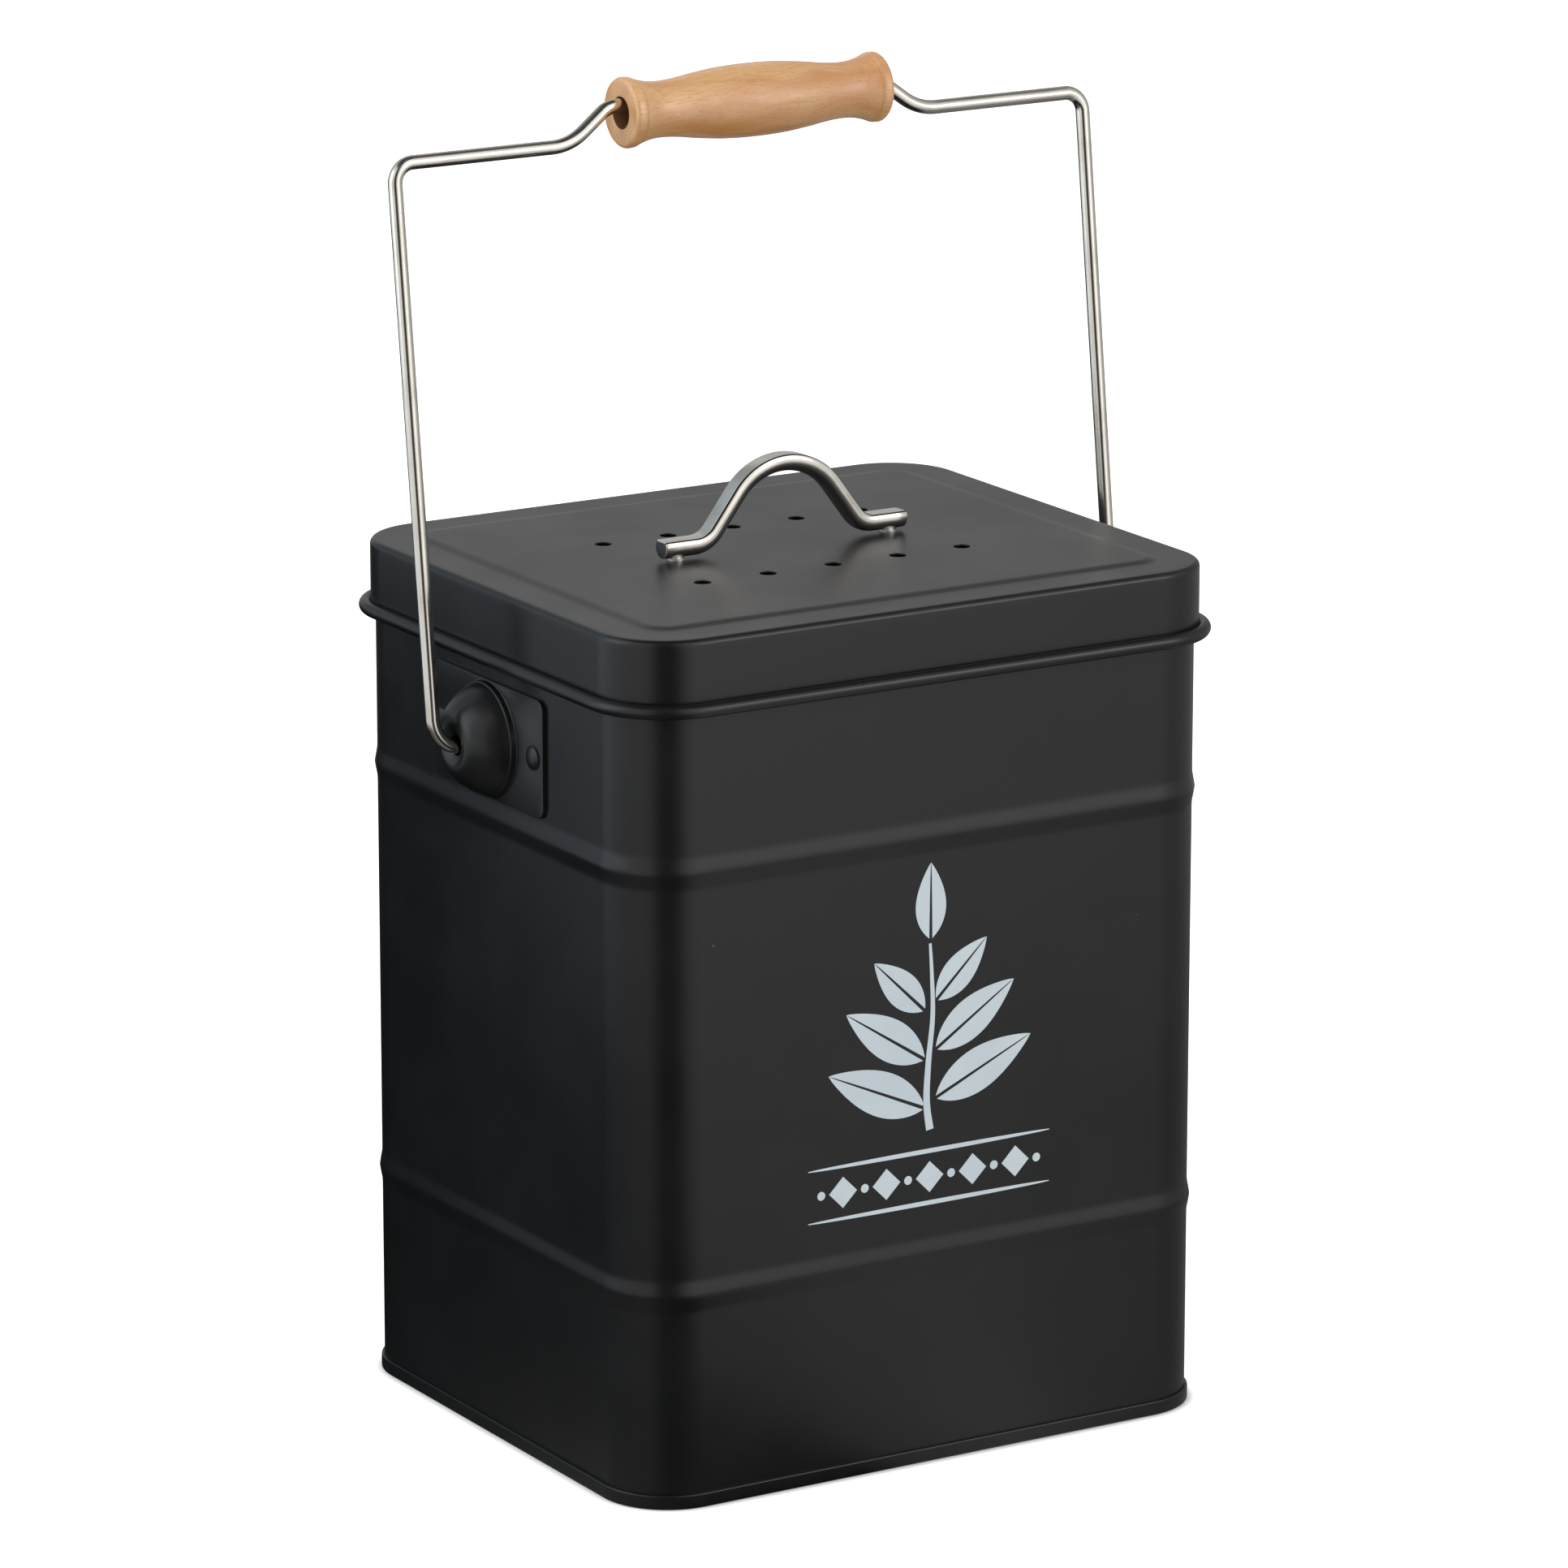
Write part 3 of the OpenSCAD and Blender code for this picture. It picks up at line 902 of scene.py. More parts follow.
@dataclass(frozen=True)
class CaddySizes:
    """Sizes that the pieces share, read from the frame."""

    wall_x: float
    wall_y: float
    rim_z: float
    lid_edge_z: float
    lid_panel_z: float
    seam_h: float
    seam_out: float = 0.95
    panel_up: float = 0.7
    corner_r: float = 20.8
    floor_z: float = 3.2
    sheet: float = 0.6

    @classmethod
    def from_frame(cls) -> "CaddySizes":
        """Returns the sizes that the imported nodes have."""
        pan_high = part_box("base_pan")[1] / MM
        lid_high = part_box("lid_shell")[1] / MM
        return cls(wall_x=pan_high.x - cls.seam_out, wall_y=pan_high.y - cls.seam_out,
                   rim_z=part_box("body_shell")[1].z / MM, lid_edge_z=lid_high.z - cls.panel_up,
                   lid_panel_z=lid_high.z, seam_h=pan_high.z)

    def plan(self) -> RoundedPlan:
        """Returns the bucket's plan."""
        return RoundedPlan(self.wall_x - self.corner_r, self.wall_y - self.corner_r)


def soft_ridge(t: float, blur: float = 0.14) -> float:
    """Returns a ridge's height from 0 to 1: straight flanks from t = -1 to 1, its crest and feet rounded.

    Args:
        t: The distance from the ridge's crest, in halves of its width.
        blur: How round it is.

    Returns:
        The height.
    """
    def ramp(x: float) -> float:
        """Returns x where it is positive and 0 elsewhere, with a round change."""
        return (x + math.sqrt(x * x + blur * blur)) / 2

    return (ramp(t + 1) - 2 * ramp(t) + ramp(t - 1)) / (ramp(1) - ramp(0) + ramp(-1))


@dataclass
class Bucket:
    """The folded wall with its two pressed ridges, and the bottom seamed round it."""

    sizes: CaddySizes
    finishes: Finishes
    wall_foot_z: float = 0.7
    foot_bands: tuple[float, float] = (4.9, 5.4)
    ridge_heights: tuple[float, ...] = (65.0, 192.5)
    ridge_half: float = 4.6
    ridge_out: float = 0.85
    ridge_steps: int = 22
    ridge_reach: float = 1.35
    ridge_band: float = 4.0
    rim_bands: tuple[float, float] = (6.0, 6.2)
    rim_fold: float = 5.0
    fold_chamfer: Point = (0.1, 0.15)
    play: float = 0.05
    inner_lip_r: float = 0.35
    foot_r: float = 0.6
    seam_bands: tuple[float, float] = (2.2, 3.3)
    seam_top_r: float = 0.5
    seam_dip: Point = (0.06, 0.1)
    floor_inset: float = 0.5

    def wall_line(self, inset: float) -> list[Point]:
        """Returns one face of the wall from the bottom up, as radius and height.

        Args:
            inset: The distance inside the outer face.

        Returns:
            The face's points.
        """
        r = self.sizes.corner_r - inset
        line = [(r, z) for z in (self.wall_foot_z, *self.foot_bands)]
        reach, band = self.ridge_reach * self.ridge_half, self.ridge_band * self.ridge_half
        for z in self.ridge_heights:
            line.append((r, z - band))
            for i in range(self.ridge_steps + 1):
                dz = reach * (2 * i / self.ridge_steps - 1)
                line.append((r + self.ridge_out * max(0.0, soft_ridge(dz / self.ridge_half)), z + dz))
            line.append((r, z + band))
        return line

    def wall(self) -> bpy.types.Object:
        """Returns the wall, closed by its folded rim."""
        size = self.sizes
        r, t, top = size.corner_r, size.sheet, size.rim_z
        outer_band, inner_band = self.rim_bands
        chamfer, chamfer_h = self.fold_chamfer
        fold_z = top - self.rim_fold
        bead = arc((r - t, top - t), t, 0, 180, 10)
        fold = [(r - 2 * t, fold_z), (r - 2 * t + chamfer, fold_z - chamfer_h), (r - t, fold_z - chamfer_h)]
        profile = [*self.wall_line(0), (r, top - outer_band), *bead, *fold, (r - t, top - inner_band),
                   *reversed(self.wall_line(t))]
        maker = MeshMaker("bucket_wall")
        plan = size.plan()
        maker.loft([plan.ring(x, z) for x, z in profile], closed_profile=True)
        return maker.piece(crease=50)

    def bottom(self) -> bpy.types.Object:
        """Returns the bottom, with the seam that holds the wall."""
        size, play, lip, foot, top_r = self.sizes, self.play, self.inner_lip_r, self.foot_r, self.seam_top_r
        r, t, seam_h = size.corner_r, size.sheet, size.seam_h
        edge = r + size.seam_out
        inner = r - 2 * t - play
        floor = size.floor_z + t
        dip_out, dip = self.seam_dip
        profile = [
            *arc((inner + lip, lip), lip, 180, 270, 5), *arc((edge - foot, foot), foot, -90, 0, 6),
            *[(edge, z) for z in self.seam_bands], *arc((edge - top_r, seam_h - top_r), top_r, 0, 90, 6),
            (r + dip_out, seam_h - dip), (r + play, t), (r - t - play, t), (r - t - play, floor),
            (inner - self.floor_inset, floor)]
        maker = MeshMaker("bucket_bottom")
        plan = size.plan()
        rings = maker.loft([plan.ring(x, z) for x, z in profile])
        under = maker.ring(plan.ring(inner, size.floor_z))
        maker.bridge(rings[0], under)
        maker.fill(under)
        maker.fill(rings[-1])
        return maker.piece(crease=50)

    def build(self) -> list[bpy.types.Object]:
        """Builds the bucket and returns its pieces."""
        wall, bottom, enamel = self.wall(), self.bottom(), self.finishes.enamel
        return [dress(wall, Body.CADDY, Slot.ENAMEL, ["body_shell"], enamel),
                dress(bottom, Body.CADDY, Slot.ENAMEL, ["base_pan"], enamel)]


@dataclass
class Ears:
    """The two pressed plates that hold the bail, with their rivets.

    The dome's points are shares of the boss's radius and height.
    """

    sizes: CaddySizes
    finishes: Finishes
    growths: Growths
    length: float = 65.0
    height: float = 35.6
    thickness: float = 1.2
    corner_r: float = 3.5
    edge_r: float = 0.2
    wall_gap: float = 0.05
    boss_r: float = 17.2
    boss_h: float = 13.3
    dome: tuple[Point, ...] = (
        (0.955, 0.315), (0.9, 0.46), (0.785, 0.68), (0.64, 0.885), (0.53, 0.972), (0.43, 0.998),
        (0.34, 0.985))
    dimple_r: float = 7.5
    hole_r: float = 3.1
    hole_drop: float = 0.6
    hole_lip_r: float = 0.45
    hole_level: float = 0.905
    hole_depth: float = 0.9
    cup_inset: Point = (0.75, 1.1)
    cup_mouth: float = 0.6
    cup_foot_z: float = 3.0
    rivet_y: float = 27.0
    rivet_r: float = 3.8
    rivet_h: float = 1.0
    rivet_collar_h: float = 0.5

    def middle_z(self) -> float:
        """Returns the ears' middle height in metres."""
        low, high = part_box("left_ear")
        return (low.z + high.z) / 2

    def boss_line(self) -> list[Point]:
        """Returns the boss's outer face from its root to its hole, as radius and height."""
        r, h, t, hole, lip = self.boss_r, self.boss_h, self.thickness, self.hole_r, self.hole_lip_r
        level = h * self.hole_level
        root = [(r + 0.55, t), (r + 0.25, t + 0.12), (r + 0.1, t + 0.4), (r + 0.1, h * 0.2),
                (r + 0.02, h * 0.22), (r - 0.2, h * 0.232)]
        knots = [(r - 0.35, h * 0.24), *[(r * out, h * up) for out, up in self.dome],
                 (hole + 1.0, h * 0.935), (hole + 0.35, level)]
        return [*root, *smooth_line(knots, 4), *arc((hole + lip, level - lip), lip, 120, 180, 4)]

    def boss_ring(self, radius: float, height: float) -> list[Vector]:
        """Returns a ring of the boss, which sinks towards the hole's middle inside the dimple.

        Args:
            radius: The ring's radius.
            height: Its height over the wall.

        Returns:
            The ring's points.
        """
        share = (self.dimple_r - radius) / (self.dimple_r - self.hole_r)
        return circle((-self.hole_drop * min(1.0, max(0.0, share)), 0), radius, height, 72)

    def ear(self, side: int) -> bpy.types.Object:
        """Returns one ear.

        Args:
            side: -1 for the left ear, 1 for the right.

        Returns:
            The ear, in its place.
        """
        t, corner, edge = self.thickness, self.corner_r, self.edge_r
        plan = RoundedPlan(self.height / 2 - corner, self.length / 2 - corner, corner_steps=8)
        maker = MeshMaker("left_ear_plate" if side < 0 else "right_ear_plate")
        rim = [(corner, 0.0), *arc((corner - edge, t - edge), edge, 0, 90, 5)]
        plate = maker.loft([plan.ring(x, z) for x, z in rim])
        outer = self.boss_line()
        thinner, lower = self.cup_inset
        cup = [(max(self.hole_r + self.cup_mouth, x - thinner), z - lower)
               for x, z in reversed(outer[3:-6]) if z > self.cup_foot_z]
        inner = [(self.hole_r, outer[-1][1] - self.hole_depth), *cup, (self.boss_r - t, 0.0)]
        boss = maker.loft([self.boss_ring(x, z) for x, z in [*outer, *inner]])
        maker.fill(plate[-1], boss[0])
        maker.fill(plate[0], boss[-1])
        wall = (self.sizes.wall_x + self.wall_gap) * MM
        maker.place(Matrix((
            (0, 0, side, side * wall), (0, 1, 0, 0), (1, 0, 0, self.middle_z()), (0, 0, 0, 1))))
        return maker.piece(crease=50)

    def rivets(self) -> bpy.types.Object:
        """Returns the four rivets' heads as one piece."""
        reach = self.sizes.wall_x + self.wall_gap + self.thickness
        places = [(side, y) for side in (-1, 1) for y in (-self.rivet_y, self.rivet_y)]
        points = [Vector((side * reach * MM, y * MM, self.middle_z())) for side, y in places]
        source = points_object("rivet_places", points, joined=False)
        facing = source.data.attributes.new("facing", "FLOAT_VECTOR", "POINT")
        facing.data.foreach_set("vector", [c for side, _ in places for c in (side, 0.0, 0.0)])
        piece = grown_mesh("ear_rivets", source, self.growths.rivets,
                           {"Head Radius": self.rivet_r * MM, "Head Height": self.rivet_h * MM,
                            "Collar Height": self.rivet_collar_h * MM}, self.finishes.enamel)
        return smooth_by_angle(piece, 50)

    def build(self) -> list[bpy.types.Object]:
        """Builds the ears and returns their pieces."""
        left, right, heads = self.ear(-1), self.ear(1), self.rivets()
        rivets = [f"{side}_ear_{end}_rivet" for side in ("left", "right") for end in ("front", "back")]
        return [dress(left, Body.CADDY, Slot.ENAMEL, ["left_ear"], self.finishes.enamel),
                dress(right, Body.CADDY, Slot.ENAMEL, ["right_ear"], self.finishes.enamel),
                dress(heads, Body.CADDY, Slot.ENAMEL, rivets)]


@dataclass
class Lid:
    """The lift-off lid with its curled hem, vent holes and filter.

    The panel's slope is a distance out from its head and a share of the panel's rise.
    """

    sizes: CaddySizes
    finishes: Finishes
    skirt_out: float = 1.45
    hem_z: float = 241.2
    hem_r: float = 2.1
    hem_bands: tuple[float, float] = (4.5, 3.0)
    edge_r: float = 1.8
    edge_band: float = 1.5
    inner_edge_r: float = 0.3
    panel_inset: float = 16.5
    panel_slope: tuple[Point, ...] = (
        (-1.4, 1.0), (-0.6, 1.0), (0.0, 0.985), (0.8, 0.9), (1.5, 0.68), (2.0, 0.5), (2.5, 0.32), (3.2, 0.1),
        (4.0, 0.015), (4.6, 0.0))
    vent_r: float = 2.5
    vent_pitch: float = 22.5
    vent_row_y: float = 29.0
    hole_edge: float = 0.22
    flat_support: float = 0.3
    screw_x: float = 37.0
    screw_hole_r: float = 2.05
    pad_corner_r: float = 3.0
    pad_edge_r: float = 1.2
    relief_r: float = 7.0
    relief_flare: Point = (0.3, 0.4)

    def shell_line(self) -> list[Point]:
        """Returns the lid's face from its raised middle over the edge and round the hem to its underside."""
        size, edge_r, hem_z = self.sizes, self.edge_r, self.hem_z
        t, edge = size.sheet, size.lid_edge_z
        r = size.corner_r + self.skirt_out
        head = r - self.panel_inset
        slope = [(head + out, edge + (size.lid_panel_z - edge) * share) for out, share in self.panel_slope]
        shoulder = (r - edge_r, edge - edge_r)
        hem_x = r - t + self.hem_r
        crevice = math.degrees(math.acos((hem_x - r) / self.hem_r))
        high_band, low_band = self.hem_bands
        return [
            *slope, (shoulder[0] - self.edge_band, edge), *arc(shoulder, edge_r, 90, 0, 9),
            (r, shoulder[1] - self.edge_band), (r, hem_z + high_band), (r, hem_z + low_band),
            *arc((hem_x, hem_z), self.hem_r, 180 - crevice, -180, 26), (r - t, hem_z + low_band),
            *arc(shoulder, max(edge_r - t, self.inner_edge_r), 0, 90, 6),
            *[(x, z - t) for x, z in reversed(slope)]]

    def holes(self) -> list[tuple[Point, float]]:
        """Returns each hole's middle and radius."""
        vents = [((i * self.vent_pitch, y), self.vent_r) for i in range(-2, 3)
                 for y in (-self.vent_row_y, self.vent_row_y)]
        return vents + [((x, 0.0), self.screw_hole_r) for x in (-self.screw_x, self.screw_x)]

    def shell(self) -> bpy.types.Object:
        """Returns the pressed lid with its holes."""
        size = self.sizes
        high, low, e = size.lid_panel_z, size.lid_panel_z - size.sheet, self.hole_edge
        maker = MeshMaker("lid_pressing")
        plan = size.plan()
        rings = maker.loft([plan.ring(x, z) for x, z in self.shell_line()])
        above, below = [rings[0]], [rings[-1]]
        for centre, radius in self.holes():
            flat = radius + e + self.flat_support
            lips = [(flat, high), *arc((radius + e, high - e), e, 90, 180, 4),
                    *arc((radius + e, low + e), e, 180, 270, 4), (flat, low)]
            liner = maker.loft([circle(centre, x, z, 36) for x, z in lips])
            above.append(liner[0])
            below.append(liner[-1])
        maker.fill(*above)
        maker.fill(*below)
        return maker.piece(crease=50)

    def filter_pad(self) -> bpy.types.Object:
        """Returns the felt filter, its edges rounded, with a relief round each screw."""
        low, high = (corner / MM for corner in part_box("filter_pad"))
        round_r, edge = self.pad_corner_r, self.pad_edge_r
        plan = RoundedPlan(high.x - round_r, high.y - round_r, corner_steps=6)
        maker = MeshMaker("felt_filter")
        profile = [*arc((round_r - edge, low.z + edge), edge, -90, 0, 4),
                   *arc((round_r - edge, high.z - edge), edge, 0, 90, 4)]
        rings = maker.loft([plan.ring(x, z) for x, z in profile])
        above, below = [rings[-1]], [rings[0]]
        bore, (flare, depth) = self.relief_r, self.relief_flare
        line = ((bore + flare, low.z), (bore, low.z + depth), (bore, high.z - depth), (bore + flare, high.z))
        for x in (-self.screw_x, self.screw_x):
            relief = maker.loft([circle((x, 0), radius, z, 40) for radius, z in line])
            below.append(relief[0])
            above.append(relief[-1])
        maker.fill(*above)
        maker.fill(*below)
        return maker.piece(crease=60)

    def build(self) -> list[bpy.types.Object]:
        """Builds the lid and returns its pieces."""
        shell, pad = self.shell(), self.filter_pad()
        dress(shell, Body.LID, Slot.ENAMEL, ["lid_shell"], self.finishes.enamel)
        dress(pad, Body.LID, Slot.FELT, ["filter_pad"], self.finishes.felt)
        return [shell, pad]


@dataclass
class LidHandle:
    """The lid's bent bar, a round rod with a flat along its outer side.

    Its end's round is a distance in from the end and how much the section shrinks there.
    """

    finishes: Finishes
    rod_r: float = 3.5
    thickness: float = 5.4
    flank: float = 13.0
    crown_r: float = 20.0
    bend_r: float = 9.0
    slope: float = math.degrees(math.atan2(4, 3))
    section_steps: int = 30
    bend_steps: int = 14
    crown_steps: int = 44
    flat_edge_r: float = 0.7
    edge_steps: int = 6
    end_round: tuple[Point, ...] = ((0.0, 0.45), (0.15, 0.12), (0.45, 0.0))

    def section(self, shrink: float = 0.0) -> list[Point]:
        """Returns the bar's section: outward distance and sideways distance.

        Args:
            shrink: How much smaller it is all round.

        Returns:
            The section's points, with small rounds where the flat meets the rod.
        """
        centre = self.rod_r - self.thickness / 2
        edge = self.flat_edge_r
        edge_x = self.thickness / 2 - edge
        edge_y = math.sqrt((self.rod_r - edge) ** 2 - (edge_x - centre) ** 2)
        meet = math.degrees(math.atan2(edge_y, edge_x - centre))
        flat_side = [*arc((edge_x, -edge_y), edge, -meet, 0, self.edge_steps),
                     *arc((edge_x, edge_y), edge, 0, meet, self.edge_steps)]
        round_side = arc((centre, 0), self.rod_r, meet, 360 - meet, self.section_steps)[1:-1]
        scale = 1 - shrink / self.rod_r
        return [(x * scale, y * scale) for x, y in [*flat_side, *round_side]]

    def line(self) -> BarPath:
        """Returns the bar's middle line, as X and height."""
        low, high = (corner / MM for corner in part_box("lid_handle"))
        angle = math.radians(self.slope)
        run = (self.bend_r + self.crown_r) * math.sin(angle) + self.flank * math.cos(angle)
        half = [(high.x - run, 3), (self.bend_r, self.slope, self.bend_steps), (self.flank, 4)]
        crown = (self.crown_r, -2 * self.slope, self.crown_steps)
        return BarPath((low.x, low.z + self.thickness / 2), 0).follow([*half, crown, *reversed(half)])

    def paint_edge_reflections(self, bar: bpy.types.Object, around: int, bands: int) -> None:
        """Gives the narrow strips beside the flat the bar's third material, a painted dark reflection.

        Args:
            bar: The bar's object.
            around: The number of faces in a band round the bar.
            bands: The number of bands.
        """
        first = range(1, self.edge_steps - 1)
        strips = {*first, *(self.edge_steps + 1 + i for i in first)}
        for polygon in bar.data.polygons[:around * bands]:
            if polygon.index % around in strips:
                polygon.material_index = 2

    def build(self) -> list[bpy.types.Object]:
        """Builds the handle and returns it."""
        path = self.line()
        maker = MeshMaker("lid_bar")
        rings = []
        last = len(path.points) - 1
        ends = {0: self.end_round, last: [(-along, shrink) for along, shrink in reversed(self.end_round)]}
        for i, ((x, z), heading) in enumerate(zip(path.points, path.headings)):
            angle = math.radians(heading)
            out = Vector((-math.sin(angle), 0, math.cos(angle)))
            middle = Vector((x, 0, z))
            for along, shrink in ends.get(i, [(0.0, 0.0)]):
                rings.append([middle + Vector((along, 0, 0)) + out * a + Vector((0, b, 0))
                              for a, b in self.section(shrink)])
        made = maker.loft(rings)
        for end in (made[0], made[-1]):
            maker.cap(end, material=1)
        bar, steel = maker.piece(crease=40), self.finishes
        self.paint_edge_reflections(bar, len(rings[0]), len(rings) - 1)
        return [dress(bar, Body.LID, Slot.HANDLE_STEEL, ["lid_handle"],
                      steel.handle_steel, steel.cut_steel, steel.painted_reflection_steel)]


@dataclass
class Bail:
    """The wire bail and the wooden grip that turns on it.

    The grip's profile is a distance from its middle and a radius, and is the same to both sides.
    """

    finishes: Finishes
    growths: Growths
    wire_r: float = 2.15
    end_x: float = 103.5
    bar_v: float = 171.8
    foot_bend_r: float = 9.0
    shoulder_r: float = 6.0
    rise: float = 25.0 / 3
    rise_foot_r: float = 18.0
    rise_top_r: float = 8.0
    grip_run: float = 44.0
    slope: float = math.degrees(math.atan2(3, 4))
    bend_steps: int = 16
    grip_body: tuple[Point, ...] = (
        (0.0, 11.0), (4.0, 10.95), (8.0, 10.8), (12.0, 10.53), (16.0, 10.1), (20.0, 9.6), (24.0, 9.0),
        (28.0, 8.55), (32.0, 8.4), (35.0, 8.6), (37.0, 8.98), (39.0, 9.5), (40.3, 9.95))
    grip_groove: tuple[Point, ...] = ((40.45, 9.88), (40.7, 9.8), (40.95, 10.1))
    grip_rim: tuple[Point, ...] = ((41.2, 10.35), (42.0, 10.52), (43.0, 10.58))
    grip_end_r: float = 1.5
    grip_end_radii: tuple[float, float] = (9.1, 7.6)
    bore_r: float = 4.7
    bore_lip_r: float = 0.5
    bore_chamfer: float = 0.05
    bore_rim: float = 0.15

    def __post_init__(self) -> None:
        """Reads the joints' axes."""
        joints = {joint["name"]: joint for joint in frame["joints"]}
        self.pivot = Vector(joints["bail_swing"]["pos_m"])
        self.grip_axis = Vector(joints["grip_spin"]["pos_m"])
        self.up = self.grip_axis - self.pivot
        self.up.x = 0
        self.up.normalize()

    def wire(self) -> bpy.types.Object:
        """Returns the bent wire."""
        leg_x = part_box("bail_wire")[1].x / MM - self.wire_r
        angle = math.radians(self.slope)
        run = (self.rise_foot_r + self.rise_top_r) * math.sin(angle) + self.rise * math.cos(angle)
        half = [(leg_x - self.foot_bend_r - self.end_x, 1), (self.foot_bend_r, -90, self.bend_steps),
                (self.bar_v - self.foot_bend_r - self.shoulder_r, 6), (self.shoulder_r, -90, self.bend_steps),
                (leg_x - self.shoulder_r - self.grip_run - run, 3), (self.rise_foot_r, self.slope, 12),
                (self.rise, 2), (self.rise_top_r, -self.slope, 9)]
        path = BarPath((-self.end_x, 0.0), 180).follow([*half, (2 * self.grip_run, 4), *reversed(half)])
        points = [self.pivot + Vector((u * MM, 0, 0)) + self.up * (v * MM) for u, v in path.points]
        source = points_object("wire_line", points, joined=True)
        piece = grown_mesh("bent_wire", source, self.growths.wire,
                           {"Wire Radius": self.wire_r * MM, "Sides": 40}, self.finishes.bail_steel)
        return smooth_by_angle(piece, 40)

    def grip(self) -> bpy.types.Object:
        """Returns the turned grip with its bore, whose faces have the second material, a painted shade."""
        low, high = (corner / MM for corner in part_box("wood_grip"))
        half = (high.x - low.x) / 2
        bore, lip, end_r = self.bore_r, self.bore_lip_r, self.grip_end_r
        shoulder_r, face_r = self.grip_end_radii
        right = [*smooth_line(self.grip_body, 4), *self.grip_groove, *smooth_line(self.grip_rim, 4),
                 *arc((half - end_r, shoulder_r), end_r, 80, 0, 8), (half, face_r),
                 (half, bore + lip + self.bore_chamfer), *arc((half - lip, bore + lip), lip, 0, -90, 5)]
        left = [(-x, r) for x, r in reversed(right[1:])]
        profile = [*left, *right, (half * 0.5, bore), (0, bore), (-half * 0.5, bore)]
        maker = MeshMaker("turned_grip")
        axis = self.grip_axis / MM
        maker.loft([[Vector((axis.x + x, axis.y + c, axis.z + s))
                     for c, s in arc((0, 0), radius, 0, 360, 72)[:-1]]
                    for x, radius in profile], closed_profile=True)
        piece = maker.piece(crease=40)
        for polygon in piece.data.polygons:
            out = polygon.center - self.grip_axis
            if math.hypot(out.y, out.z) < (bore + self.bore_rim) * MM:
                polygon.material_index = 1
        return piece

    def build(self) -> list[bpy.types.Object]:
        """Builds the bail and its grip and returns them."""
        wire, grip = self.wire(), self.grip()
        return [dress(wire, Body.BAIL, Slot.BAIL_STEEL, ["bail_wire"]),
                dress(grip, Body.GRIP, Slot.WOOD, ["wood_grip"], self.finishes.beech,
                      self.finishes.bore_shade_beech)]


